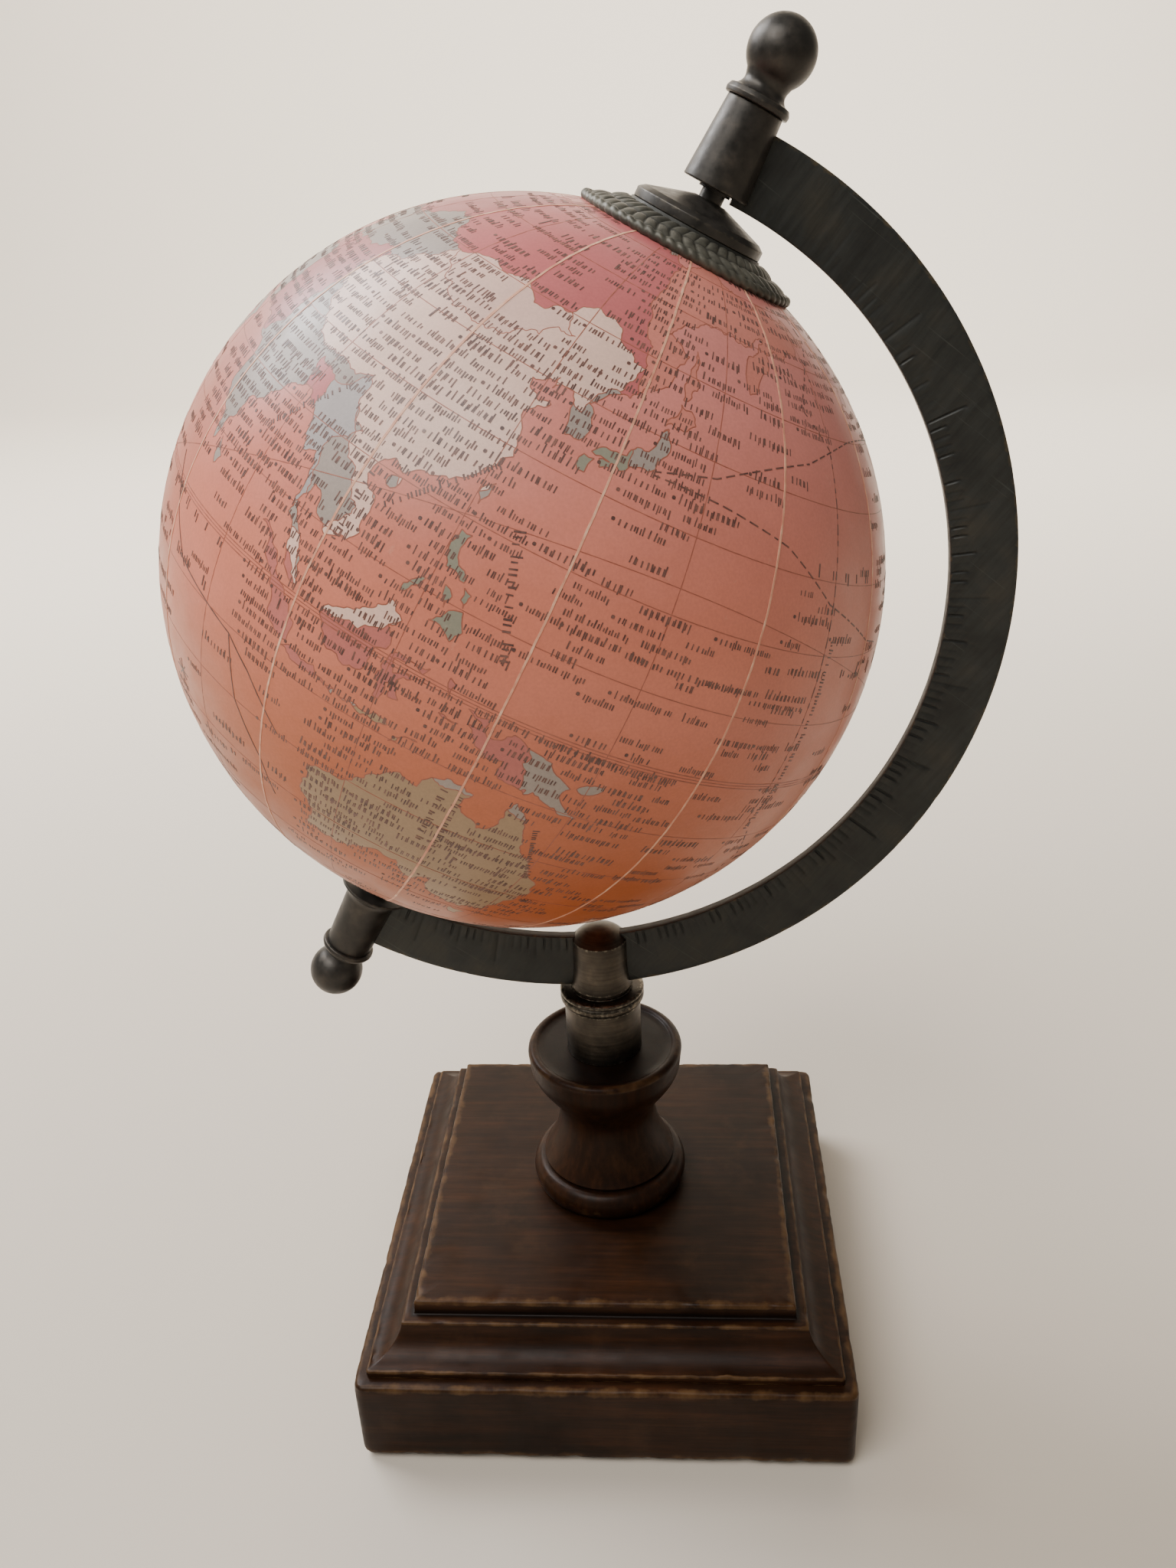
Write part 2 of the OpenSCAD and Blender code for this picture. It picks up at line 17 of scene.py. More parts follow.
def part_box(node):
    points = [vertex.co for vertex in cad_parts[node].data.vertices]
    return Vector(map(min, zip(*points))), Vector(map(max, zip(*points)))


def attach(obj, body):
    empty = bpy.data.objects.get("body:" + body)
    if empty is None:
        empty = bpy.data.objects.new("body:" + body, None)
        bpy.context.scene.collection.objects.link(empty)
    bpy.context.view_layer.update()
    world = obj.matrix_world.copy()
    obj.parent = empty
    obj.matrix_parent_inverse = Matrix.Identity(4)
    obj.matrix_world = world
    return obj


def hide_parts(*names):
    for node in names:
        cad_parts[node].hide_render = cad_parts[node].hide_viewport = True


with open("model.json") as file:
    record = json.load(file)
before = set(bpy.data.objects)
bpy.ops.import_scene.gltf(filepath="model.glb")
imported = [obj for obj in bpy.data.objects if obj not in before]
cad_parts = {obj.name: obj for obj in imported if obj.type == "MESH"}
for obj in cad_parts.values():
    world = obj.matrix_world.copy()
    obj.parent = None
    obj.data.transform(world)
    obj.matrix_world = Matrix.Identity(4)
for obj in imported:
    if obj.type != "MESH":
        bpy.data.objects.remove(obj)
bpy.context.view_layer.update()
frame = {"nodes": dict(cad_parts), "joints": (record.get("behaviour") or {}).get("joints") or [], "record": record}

MM = 0.001

# ---- Places taken from the frame ----


def box_mm(node):
    """Lowest and highest corner of a CAD node, in millimetres."""
    low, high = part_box(node)
    return Vector(low) / MM, Vector(high) / MM


SPIN = next(joint for joint in frame["joints"] if joint["name"] == "globe_spin")
AXIS = Vector(SPIN["axis"]).normalized()
CENTRE = Vector(SPIN["pos_m"]) / MM
SIDE = Vector((AXIS.z, 0, -AXIS.x))
REAR = Vector((0, 1, 0))
GLOBE_R = max((v.co / MM - CENTRE).length for v in frame["nodes"]["map_gores"].data.vertices)
PLINTH_LOW, PLINTH_HIGH = box_mm("base_plinth")
MOULDING_LOW, MOULDING_HIGH = box_mm("base_moulding")
COLUMN_HIGH = box_mm("turned_column")[1]
FERRULE_HIGH = box_mm("ferrule")[1]
HOLDER_LOW = box_mm("swivel_washer")[1]
ARC_LOW, ARC_HIGH = box_mm("meridian_arc")

# ---- Camera ----

CAMERA_PLACE = Vector((16.3, -222.9, 235.5))
CAMERA_PITCH = math.radians(-25.37)
CAMERA_YAW = math.radians(4.41)
CAMERA_ROLL = math.radians(-2.77)
CAMERA_LENS = 29.04


def add_camera():
    data = bpy.data.cameras.new("camera")
    data.lens = CAMERA_LENS
    data.sensor_width = 36
    data.clip_start = 0.01
    data.clip_end = 20
    camera = bpy.data.objects.new("camera", data)
    bpy.context.scene.collection.objects.link(camera)
    turn = Matrix.Rotation(CAMERA_YAW, 4, "Z")
    turn @= Matrix.Rotation(math.pi / 2 + CAMERA_PITCH, 4, "X")
    turn @= Matrix.Rotation(CAMERA_ROLL, 4, "Z")
    camera.matrix_world = Matrix.Translation(CAMERA_PLACE * MM) @ turn
    bpy.context.scene.camera = camera


add_camera()

# ---- Material helpers ----


def srgb(r, g, b):
    """A colour given as 0 to 255 in sRGB, as the linear values that Blender uses."""
    def linear(c):
        c /= 255
        return c / 12.92 if c <= 0.04045 else ((c + 0.055) / 1.055) ** 2.4
    return (linear(r), linear(g), linear(b), 1)


class Shader:
    """A material with a Principled shader and short calls for adding nodes to it."""

    def __init__(self, name, colour, **inputs):
        self.material = bpy.data.materials.new(name)
        self.material.use_nodes = True
        self.tree = self.material.node_tree
        self.surface = self.tree.nodes["Principled BSDF"]
        self.surface.inputs["Base Color"].default_value = colour
        self.material.diffuse_color = colour
        for key, value in inputs.items():
            self.surface.inputs[key.replace("_", " ")].default_value = value

    def add(self, kind, **settings):
        node = self.tree.nodes.new(kind)
        for key, value in settings.items():
            if key in node.inputs:
                node.inputs[key].default_value = value
            else:
                setattr(node, key, value)
        return node

    def link(self, start, end):
        self.tree.links.new(start, end)

    def place(self, scale=(1, 1, 1), turn=(0, 0, 0)):
        """Object coordinates, turned by degrees and then stretched by scale."""
        coords = self.add("ShaderNodeTexCoord")
        mapping = self.add("ShaderNodeMapping", vector_type="TEXTURE")
        mapping.inputs["Scale"].default_value = [1 / s for s in scale]
        mapping.inputs["Rotation"].default_value = [math.radians(a) for a in turn]
        self.link(coords.outputs["Object"], mapping.inputs["Vector"])
        return mapping.outputs["Vector"]

    def noise(self, size, detail=4, scale=(1, 1, 1), turn=(0, 0, 0), rough=0.55):
        """Noise whose features are about size mm across, shorter along axes of a larger scale."""
        node = self.add("ShaderNodeTexNoise", Scale=1 / (size * MM), Detail=detail)
        node.inputs["Roughness"].default_value = rough
        self.link(self.place(scale, turn), node.inputs["Vector"])
        return node.outputs["Fac"]

    def ramp(self, value, *stops):
        """A colour ramp from (position, colour or grey) stops."""
        node = self.add("ShaderNodeValToRGB")
        elements = node.color_ramp.elements
        while len(elements) < len(stops):
            elements.new(0.5)
        for element, (position, colour) in zip(elements, stops):
            element.position = position
            if not isinstance(colour, tuple):
                colour = (colour, colour, colour)
            element.color = (*colour[:3], 1)
        self.link(value, node.inputs["Fac"])
        return node.outputs["Color"]

    def mix(self, factor, a, b, blend="MIX"):
        node = self.add("ShaderNodeMix", data_type="RGBA", blend_type=blend)
        for socket, value in ((node.inputs[0], factor), (node.inputs[6], a), (node.inputs[7], b)):
            if isinstance(value, bpy.types.NodeSocket):
                self.link(value, socket)
            elif socket.type == "RGBA":
                socket.default_value = (*value[:3], 1)
            else:
                socket.default_value = value
        return node.outputs[2]

    def maths(self, kind, a, b):
        node = self.add("ShaderNodeMath", operation=kind)
        for socket, value in zip(node.inputs, (a, b)):
            if isinstance(value, bpy.types.NodeSocket):
                self.link(value, socket)
            else:
                socket.default_value = value
        return node.outputs[0]

    def span(self, value, low, high, start=0.0, end=1.0):
        """Maps start..end to low..high, and clamps."""
        node = self.add("ShaderNodeMapRange")
        node.inputs["From Min"].default_value = start
        node.inputs["From Max"].default_value = end
        node.inputs["To Min"].default_value = low
        node.inputs["To Max"].default_value = high
        self.link(value, node.inputs["Value"])
        return node.outputs["Result"]

    def colour(self, value):
        self.link(value, self.surface.inputs["Base Color"])

    def roughness(self, value, low, high):
        self.link(self.span(value, low, high, 0.3, 0.7), self.surface.inputs["Roughness"])

    def bump(self, value, depth, strength=1.0):
        """Relief of about depth mm."""
        node = self.add("ShaderNodeBump", Strength=strength, Distance=depth * MM)
        self.link(value, node.inputs["Height"])
        normal = self.surface.inputs["Normal"]
        if normal.is_linked:
            self.link(normal.links[0].from_socket, node.inputs["Normal"])
        self.link(node.outputs["Normal"], normal)

    def attribute(self, name, output="Fac"):
        return self.add("ShaderNodeAttribute", attribute_name=name).outputs[output]

    def rubbed(self, base, worn, corner_shade, size=1.2, reach=0.55, start=0.85):
        """Colour with worn outer edges and painted shade in inner corners and recesses, from the mesh's edge
        attribute.
        """
        edge = self.attribute("edge")
        patches = self.span(self.noise(size, 5), -reach, reach, 0.3, 0.7)
        mask = self.span(self.maths("ADD", edge, patches), 0, 1, start, start + 0.65)
        # Painted shade: a negative edge mark (inner corners, recesses) darkens the colour toward the near-black
        # shade colour.
        shade_mask = self.span(edge, 1, 0, -0.8, 0.0)
        shaded = self.mix(self.maths("MULTIPLY", shade_mask, 0.8), base, corner_shade)
        return self.mix(mask, shaded, worn)


# ---- Materials ----


def map_paper():
    """Varnished printed paper: a tone for each region, blotched and lightly browned with age."""
    shader = Shader("map_paper", srgb(205, 128, 108), Roughness=0.4)
    shader.surface.inputs["Specular IOR Level"].default_value = 0.3
    shader.surface.inputs["Coat Weight"].default_value = 0.1
    shader.surface.inputs["Coat Roughness"].default_value = 0.32
    # The tone carries the print's colours and, on the sea, painted light and shade.
    tone = shader.attribute("tone", "Color")
    blotches = shader.ramp(shader.noise(26, 5), (0.3, (0.9, 0.87, 0.85)), (0.7, (1.06, 1.04, 1.02)))
    grains = shader.ramp(shader.noise(0.45, 6), (0.35, 0.95), (0.65, 1.04))
    toned = shader.mix(1.0, tone, blotches, "MULTIPLY")
    toned = shader.mix(1.0, toned, grains, "MULTIPLY")
    scuffs = shader.span(shader.noise(3.5, 8, (1, 1, 0.25), (20, 30, 0), 0.7), 0, 0.35, 0.66, 0.78)
    shader.colour(shader.mix(scuffs, toned, srgb(226, 190, 165)))
    shader.roughness(shader.noise(7, 5), 0.3, 0.48)
    shader.bump(shader.noise(0.35, 5), 0.02, 0.3)
    shader.bump(shader.noise(14, 2), 0.25, 0.25)
    return shader.material


def print_ink(name, colour, faded):
    shader = Shader(name, colour, Roughness=0.45)
    shader.colour(shader.ramp(shader.noise(1.4, 4), (0.35, colour), (0.75, faded)))
    shader.roughness(shader.noise(3), 0.35, 0.55)
    return shader.material


def seam_paper():
    """Edge of the overlapping gores, paler than the print: raw paper where the print is rubbed off, and a painted
    highlight along the raised overlap.
    """
    shader = Shader("seam_paper", srgb(224, 165, 135), Roughness=0.5)
    shader.colour(shader.ramp(shader.noise(2.2, 6), (0.3, srgb(205, 135, 110)),
                              (0.55, srgb(226, 170, 140)), (0.75, srgb(238, 205, 175))))
    shader.bump(shader.noise(0.5, 4), 0.03, 0.5)
    return shader.material


def dark_bronze():
    """Darkened bronze with a satin handle polish and faint turning marks."""
    shader = Shader("dark_bronze", (0.05, 0.045, 0.038, 1), Metallic=0.6, Roughness=0.42)
    patina = shader.ramp(shader.noise(3, 6), (0.3, (0.026, 0.024, 0.021)),
                         (0.55, (0.046, 0.041, 0.035)), (0.78, (0.078, 0.066, 0.052)))
    shader.colour(shader.rubbed(patina, (0.085, 0.073, 0.056), (0.01, 0.009, 0.008), 1.0))
    shader.roughness(shader.noise(1.5, 5), 0.33, 0.52)
    shader.bump(shader.noise(0.5, 4), 0.03, 0.35)
    return shader.material


def brushed_bronze():
    """The post's turned bronze, brighter, with brushed rings and rubbed rims."""
    shader = Shader("brushed_bronze", (0.09, 0.078, 0.062, 1), Metallic=0.85, Roughness=0.36)
    rings = shader.noise(0.5, 4, (0.04, 0.04, 1), rough=0.7)
    stains = shader.noise(4, 6)
    base = shader.ramp(stains, (0.3, (0.04, 0.034, 0.027)), (0.6, (0.078, 0.065, 0.05)),
                       (0.78, (0.13, 0.107, 0.08)))
    base = shader.mix(0.55, base, shader.ramp(rings, (0.3, 0.4), (0.7, 1.5)), "MULTIPLY")
    shader.colour(shader.rubbed(base, (0.24, 0.21, 0.16), (0.012, 0.01, 0.008), 0.8, 0.6))
    shader.roughness(rings, 0.28, 0.5)
    shader.bump(rings, 0.05, 0.6)
    return shader.material


def patinated_metal(name, low, middle, high):
    """Green-black patina, streaked and finely scratched, from three tones of its clouds."""
    shader = Shader(name, (*middle, 1), Metallic=0.45, Roughness=0.5)
    clouds = shader.ramp(shader.noise(9, 6), (0.3, low), (0.52, middle), (0.75, high))
    streaks = shader.noise(1.1, 6, (1, 1, 0.08), (0, 38, 0), 0.7)
    scratches = shader.span(shader.noise(0.5, 3, (1, 1, 0.02), (0, -52, 0), 0.5), 0, 0.5, 0.66, 0.8)
    base = shader.mix(0.6, clouds, shader.ramp(streaks, (0.3, 0.6), (0.7, 1.5)), "MULTIPLY")
    base = shader.mix(scratches, base, (0.10, 0.11, 0.095))
    shader.colour(shader.rubbed(base, (0.085, 0.065, 0.035), (0.011, 0.012, 0.011), 1.6))
    shader.roughness(streaks, 0.4, 0.62)
    shader.bump(streaks, 0.04, 0.5)
    shader.bump(shader.noise(0.7, 5), 0.04, 0.4)
    return shader.material


def stained_wood(name, grain_scale):
    """Nearly black brown stain over faint grain, with golden wood where the edges are rubbed."""
    shader = Shader(name, (0.02, 0.009, 0.004, 1), Roughness=0.4)
    shader.surface.inputs["Specular IOR Level"].default_value = 0.13
    grain = shader.noise(1.6, 7, grain_scale, rough=0.6)
    pores = shader.noise(0.35, 3, grain_scale, rough=0.5)
    stain = shader.ramp(grain, (0.3, (0.0095, 0.0038, 0.0015)), (0.5, (0.0155, 0.0059, 0.0022)),
                        (0.7, (0.026, 0.0094, 0.0032)))
    stain = shader.mix(0.85, stain, shader.ramp(shader.noise(21, 6), (0.34, 0.6), (0.66, 1.75)), "MULTIPLY")
    thin = shader.span(shader.noise(13, 8, (1, 1, 1), rough=0.66), 0, 0.35, 0.56, 0.76)
    stain = shader.mix(thin, stain, (0.062, 0.029, 0.0105))
    stain = shader.mix(shader.span(pores, 0.35, 0, 0.3, 0.4), stain, (0.005, 0.003, 0.002))
    shader.colour(shader.rubbed(stain, (0.082, 0.042, 0.016), (0.003, 0.002, 0.0015), 4, 0.42, 0.68))
    shader.roughness(shader.noise(6, 5), 0.32, 0.5)
    shader.bump(grain, 0.05, 0.3)
    shader.bump(pores, 0.04, 0.25)
    return shader.material


def steel():
    shader = Shader("turned_steel", (0.42, 0.41, 0.39, 1), Metallic=1.0, Roughness=0.35)
    rings = shader.noise(0.4, 4, (0.05, 0.05, 1))
    shader.colour(shader.ramp(rings, (0.3, (0.25, 0.24, 0.22)), (0.7, (0.48, 0.47, 0.44))))
    shader.roughness(shader.noise(1), 0.25, 0.5)
    shader.bump(rings, 0.02, 0.4)
    return shader.material


def felt():
    shader = Shader("green_felt", (0.02, 0.045, 0.03, 1), Roughness=0.95)
    fibres = shader.noise(0.25, 8, rough=0.75)
    shader.colour(shader.ramp(fibres, (0.3, (0.010, 0.024, 0.016)), (0.7, (0.035, 0.07, 0.048))))
    shader.surface.inputs["Sheen Weight"].default_value = 0.4
    shader.surface.inputs["Sheen Roughness"].default_value = 0.6
    shader.bump(fibres, 0.2, 0.8)
    return shader.material


def raw_stock(name, dark, light, size, scale, rough):
    """Board, fibre or plain wood: a streaked or mottled stock material."""
    shader = Shader(name, (*light, 1), Roughness=rough)
    streaks = shader.noise(size, 6, scale)
    shader.colour(shader.ramp(streaks, (0.3, dark), (0.7, light)))
    shader.roughness(shader.noise(3), rough - 0.08, rough + 0.08)
    shader.bump(streaks, 0.05, 0.4)
    return shader.material


PAPER = map_paper()
INK = print_ink("map_ink", srgb(84, 60, 56), srgb(136, 96, 84))
LINE_INK = print_ink("line_ink", srgb(146, 84, 66), srgb(176, 108, 88))
SEAM = seam_paper()
BRONZE = dark_bronze()
BRUSHED = brushed_bronze()
PATINA = patinated_metal("arc_patina", (0.021, 0.022, 0.02), (0.03, 0.032, 0.029), (0.044, 0.041, 0.032))
RING_PATINA = patinated_metal("ring_patina", (0.05, 0.048, 0.038), (0.09, 0.086, 0.068), (0.13, 0.122, 0.095))
BASE_WOOD = stained_wood("base_wood", (0.07, 1, 1))
COLUMN_WOOD = stained_wood("column_wood", (1, 1, 0.07))
SLOT_MATERIALS = {
    "dark_bronze": BRONZE,
    "patinated_metal": PATINA,
    "stained_wood": BASE_WOOD,
    "felt": felt(),
    "steel": steel(),
    "fibre": raw_stock("fibre_washer", (0.05, 0.035, 0.022), (0.12, 0.085, 0.055), 0.6, (1, 1, 1), 0.8),
    "moulded_board": raw_stock("moulded_board", (0.33, 0.27, 0.18), (0.5, 0.42, 0.3), 1.2, (1, 1, 1), 0.85),
    "hub_wood": raw_stock("hub_wood", (0.22, 0.13, 0.06), (0.42, 0.28, 0.15), 0.8, (1, 1, 0.1), 0.7),
    "printed_map": PAPER,
}
for part in frame["record"]["subparts"]:
    cad_mesh = frame["nodes"][part["node"]].data
    cad_mesh.materials.clear()
    cad_mesh.materials.append(SLOT_MATERIALS[part["material_slot"]])
for name in ("axle_rod", "top_thrust_washer", "bottom_thrust_washer"):
    frame["nodes"][name].data.materials[0] = BRONZE

# ---- Mesh helpers ----


def weld(mesh):
    """Joins vertices that coincide, such as a turned piece's at its axis, and drops empty faces."""
    shape = bmesh.new()
    shape.from_mesh(mesh)
    bmesh.ops.remove_doubles(shape, verts=shape.verts, dist=0.001 * MM)
    bmesh.ops.delete(shape, geom=[v for v in shape.verts if not v.link_faces], context="VERTS")
    shape.to_mesh(mesh)
    shape.free()


def add_piece(name, vertices, faces, material, body, slot, *nodes, edges=None):
    """A smooth piece from vertices in mm. It rides on body and stands for the CAD nodes."""
    mesh = bpy.data.meshes.new(name)
    mesh.from_pydata([Vector(v) * MM for v in vertices], [], faces)
    if edges is not None:
        mesh.attributes.new("edge", "FLOAT", "POINT").data.foreach_set("value", edges)
    mesh.polygons.foreach_set("use_smooth", [True] * len(mesh.polygons))
    weld(mesh)
    mesh.set_sharp_from_angle(angle=math.radians(38))
    mesh.materials.append(material)
    piece = bpy.data.objects.new(name, mesh)
    bpy.context.scene.collection.objects.link(piece)
    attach(piece, body)
    if nodes:
        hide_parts(*nodes)
    return piece


def rounded_outline(corners, fade=0.9, steps=5):
    """Rounds a closed outline of (x, z, radius) corners, given anticlockwise.

    Returns (x, z, edge) points. Edge is 1 on an outer corner, -1 in an inner one, and 0 from
    fade mm away from it.
    """
    result = []
    count = len(corners)
    for i in range(count):
        x, z, radius = corners[i]
        here = Vector((x, z))
        before = Vector(corners[i - 1][:2]) - here
        after = Vector(corners[(i + 1) % count][:2]) - here
        room = 0.48 * min(before.length, after.length)
        turn = before.normalized().angle(after.normalized(), math.pi)
        outer = after.x * before.y - after.y * before.x > 0
        if radius == 0 or turn > math.radians(176):
            result.append((x, z, 0.0))
            continue
        cut = min(radius / math.tan(turn / 2), room)
        radius = cut * math.tan(turn / 2)
        start = here + before.normalized() * cut
        end = here + after.normalized() * cut
        inward = (before.normalized() + after.normalized()).normalized()
        middle = here + inward * (radius / math.sin(turn / 2))
        # An outer corner is marked for wear; an inner corner's -1 gets painted shade in Shader.rubbed.
        mark = 1.0 if outer else -1.0
        spare_before = min(fade, 0.49 * before.length - cut)
        spare_after = min(fade, 0.49 * after.length - cut)
        if spare_before > 0.1:
            result.append((*(start + before.normalized() * spare_before), 0.0))
        for step in range(steps + 1):
            t = step / steps
            spoke = (start - middle).lerp(end - middle, t).normalized() * radius
            result.append((*(middle + spoke), mark))
        if spare_after > 0.1:
            result.append((*(end + after.normalized() * spare_after), 0.0))
    return result


def lathe(outline, place, segments=128):
    """Turns a closed outline of (radius, height, edge) points; place puts a local point in the world."""
    vertices = []
    edges = []
    for k in range(segments):
        a = 2 * math.pi * k / segments
        for r, z, edge in outline:
            vertices.append(place((r * math.cos(a), r * math.sin(a), z)))
            edges.append(edge)
    rows = len(outline)
    faces = []
    for k in range(segments):
        k2 = (k + 1) % segments
        for i in range(rows):
            i2 = (i + 1) % rows
            faces.append((k * rows + i, k2 * rows + i, k2 * rows + i2, k * rows + i2))
    return vertices, faces, edges


def upright(point):
    return Vector(point)


def on_axis(point):
    """From the globe's own frame, with +Z along the axle, to the world."""
    x, y, z = point
    return CENTRE + SIDE * x + REAR * y + AXIS * z


def on_south_axis(point):
    """The same, turned over, so that +Z points out of the south pole."""
    x, y, z = point
    return on_axis((x, -y, -z))


def add_turned(name, corners, place, material, body, slot, *nodes, segments=128, fade=0.9):
    outline = rounded_outline(corners, fade)
    vertices, faces, edges = lathe(outline, place, segments)
    return add_piece(name, vertices, faces, material, body, slot, *nodes, edges=edges)

# ---- Base ----

CORNER_R = 2.2
MOULDING_HALF = MOULDING_HIGH.x
MOULDING_Z = MOULDING_LOW.z
PANEL_Z = MOULDING_HIGH.z
FILLET_H = 1.8
COVE_R = 6.7
COVE_H = 6.25
PANEL_LEDGE_W = 2.4
SIDE_STEPS = 80
CORNER_STEPS = 6


def square_ring(half, radius):
    """Points round a square with rounded corners, the same number for every size."""
    flat = half - radius
    ring = []
    for quarter in range(4):
        turn = Matrix.Rotation(quarter * math.pi / 2, 2)
        for k in range(SIDE_STEPS):
            ring.append(turn @ Vector((half, -flat + 2 * flat * k / SIDE_STEPS)))
        for k in range(CORNER_STEPS):
            a = math.pi / 2 * k / CORNER_STEPS
            ring.append(turn @ Vector((flat + radius * math.cos(a), flat + radius * math.sin(a))))
    return ring


def square_sweep(outline, corner_radius):
    """Carries a closed outline of (half width, height, edge) points round a square, with small dents."""
    widest = max(point[0] for point in outline)
    middle_z = sum(point[1] for point in outline) / len(outline)
    vertices = []
    edges = []
    for half, z, edge in outline:
        for x, y in square_ring(half, max(0.3, corner_radius - widest + half)):
            spot = Vector((x, y, z))
            dent = 0.05 * noise.noise(spot / 9)
            if edge > 0.5:
                dent += 0.5 * max(0.0, noise.noise(spot / 3.5 + Vector((7, 1, 3))) - 0.22)
                dent += 0.16 * max(0.0, noise.noise(spot / 1.3))
            spot.x -= dent * x / half
            spot.y -= dent * y / half
            if edge > 0.5:
                spot.z += dent if z < middle_z else -dent
            vertices.append(spot)
            edges.append(edge)
    count = 4 * (SIDE_STEPS + CORNER_STEPS)
    rows = len(outline)
    faces = []
    for i in range(rows):
        i2 = (i + 1) % rows
        for k in range(count):
            k2 = (k + 1) % count
            faces.append((i * count + k, i * count + k2, i2 * count + k2, i2 * count + k))
    return vertices, faces, edges


def soften_top(outline, top_z, rubbed_half, clean_half):
    """Widens the wear at a flat top's edge: some as far in as rubbed_half, none from clean_half."""
    last = outline.index(max(outline, key=lambda point: (point[1] > top_z - 0.01, -point[0])))
    start = max(k for k in range(len(outline)) if abs(outline[k][1] - top_z) < 0.01 and outline[k][2] > 0.5)
    return outline[:start + 1] + [(rubbed_half, top_z, 0.3), (clean_half, top_z, 0.0)] + outline[last:]


def add_plinth():
    inner = 14
    half = PLINTH_HIGH.x
    outline = rounded_outline([
        (inner, PLINTH_LOW.z, 0),
        (half, PLINTH_LOW.z, 1.3),
        (half, PLINTH_HIGH.z, 0.8),
        (inner, PLINTH_HIGH.z, 0),
    ], 1.6)
    vertices, faces, edges = square_sweep(outline, CORNER_R)
    add_piece("plinth_board", vertices, faces, BASE_WOOD, "stand", "stained_wood",
              "base_plinth", edges=edges)


def add_moulding():
    inner = 8
    cove_z = MOULDING_Z + FILLET_H
    ledge_z = cove_z + COVE_H
    last = math.acos((COVE_R - COVE_H) / COVE_R)
    steps = 12
    cove = []
    for k in range(1, steps):
        a = last * k / steps
        cove.append((MOULDING_HALF - COVE_R * math.sin(a), cove_z + COVE_R * (1 - math.cos(a)), 0))
    ledge_half = MOULDING_HALF - COVE_R * math.sin(last)
    panel_half = ledge_half - PANEL_LEDGE_W
    outline = rounded_outline([
        (inner, MOULDING_Z, 0),
        (MOULDING_HALF, MOULDING_Z, 0.2),
        (MOULDING_HALF, cove_z, 0.4),
        *cove,
        (ledge_half, ledge_z, 0.45),
        (panel_half, ledge_z, 0.35),
        (panel_half, PANEL_Z, 0.7),
        (inner, PANEL_Z, 0),
    ], 1.4)
    rubbed_half = panel_half - 2.2
    outline = soften_top(outline, PANEL_Z, rubbed_half, rubbed_half - 4)
    vertices, faces, edges = square_sweep(outline, 0.8)
    add_piece("moulding_board", vertices, faces, BASE_WOOD, "stand", "stained_wood",
              "base_moulding", edges=edges)


add_plinth()
add_moulding()

# ---- Turned column ----

FOOT_R = 17
FOOT_H = 6.4
VASE_R = 14.5
WAIST_R = 10.5
WAIST_Z = 19.3
DISH_R = 16.6
DISH_EDGE_R = 1.2
DISH_DEPTH = 0.6


def column_outline():
    """(radius, height, edge) points, anticlockwise from the bottom of the bore."""
    height = COLUMN_HIGH.z - PANEL_Z
    bore_r = 5
    points = [(bore_r, 0, 0)]
    # The foot's bead is worn (0.55); negative marks paint shade in the corner on the panel and in the groove above
    # the foot.
    for k in range(15):
        a = math.radians(-70 + 10 * k)
        r = FOOT_R - FOOT_H * 0.42 * (1 - math.cos(a))
        z = FOOT_H / 2 + FOOT_H / 2 * math.sin(a) / math.sin(math.radians(70))
        points.append((r, z, -1.0 if k == 0 else 0.55 if 3 < k < 9 else 0.0))
    points.append((VASE_R - 0.5, FOOT_H, -0.5))
    points.append((VASE_R - 0.5, FOOT_H + 0.5, -0.5))
    points.append((VASE_R - 0.15, FOOT_H + 0.75, 0.4))
    for k in range(15):
        t = k / 14
        points.append((WAIST_R + (VASE_R - WAIST_R) * (1 - t) ** 1.8,
                       FOOT_H + 1 + (WAIST_Z - FOOT_H - 1) * t, 0))
    for k in range(1, 15):
        t = k / 14
        points.append((WAIST_R + (DISH_R - 0.3 - WAIST_R) * t * t * (3 - 2 * t),
                       WAIST_Z + (height - 4 - WAIST_Z) * t, 0))
    for k in range(15):
        a = math.radians(-14 + 11 * k)
        points.append((DISH_R - DISH_EDGE_R + DISH_EDGE_R * math.cos(a),
                       height - DISH_EDGE_R + DISH_EDGE_R * math.sin(a), 0.75 if 1 < k < 10 else 0.2))
    # Painted shade: negative marks darken the dish's floor round the ferrule.
    points.append((DISH_R - 2 * DISH_EDGE_R, height - DISH_DEPTH, -0.6))
    points.append((DISH_R - 2 * DISH_EDGE_R - 1.5, height - DISH_DEPTH, -0.75))
    points.append((10, height - DISH_DEPTH, -0.8))
    points.append((8.6, height - DISH_DEPTH, -0.7))
    points.append((bore_r, height - DISH_DEPTH, -1))
    return [(r, PANEL_Z + z, edge) for r, z, edge in points]


vertices, faces, edges = lathe(column_outline(), upright, 160)
add_piece("column_turning", vertices, faces, COLUMN_WOOD, "stand", "stained_wood",
          "turned_column", edges=edges)

# ---- Post: ferrule, collar ring and arc holder ----

FERRULE_R = 8
FERRULE_Z = COLUMN_HIGH.z - DISH_DEPTH
FERRULE_TOP = FERRULE_HIGH.z
NECK_R = FERRULE_R - 1.6
LIP_R = 0.5
BEAD_R = 1.2
COLLAR_R = 8.85
LIP_Z = FERRULE_TOP - LIP_R - 0.05
BEAD_Z = LIP_Z - LIP_R - BEAD_R + 0.2
HOLDER_Z = HOLDER_LOW.z
HOLDER_R = 5.7
HOLDER_FOOT_R = 6.4
HOLDER_H = 11.2
DOME_H = 2.9
SCREW_HOLE_R = 1.3


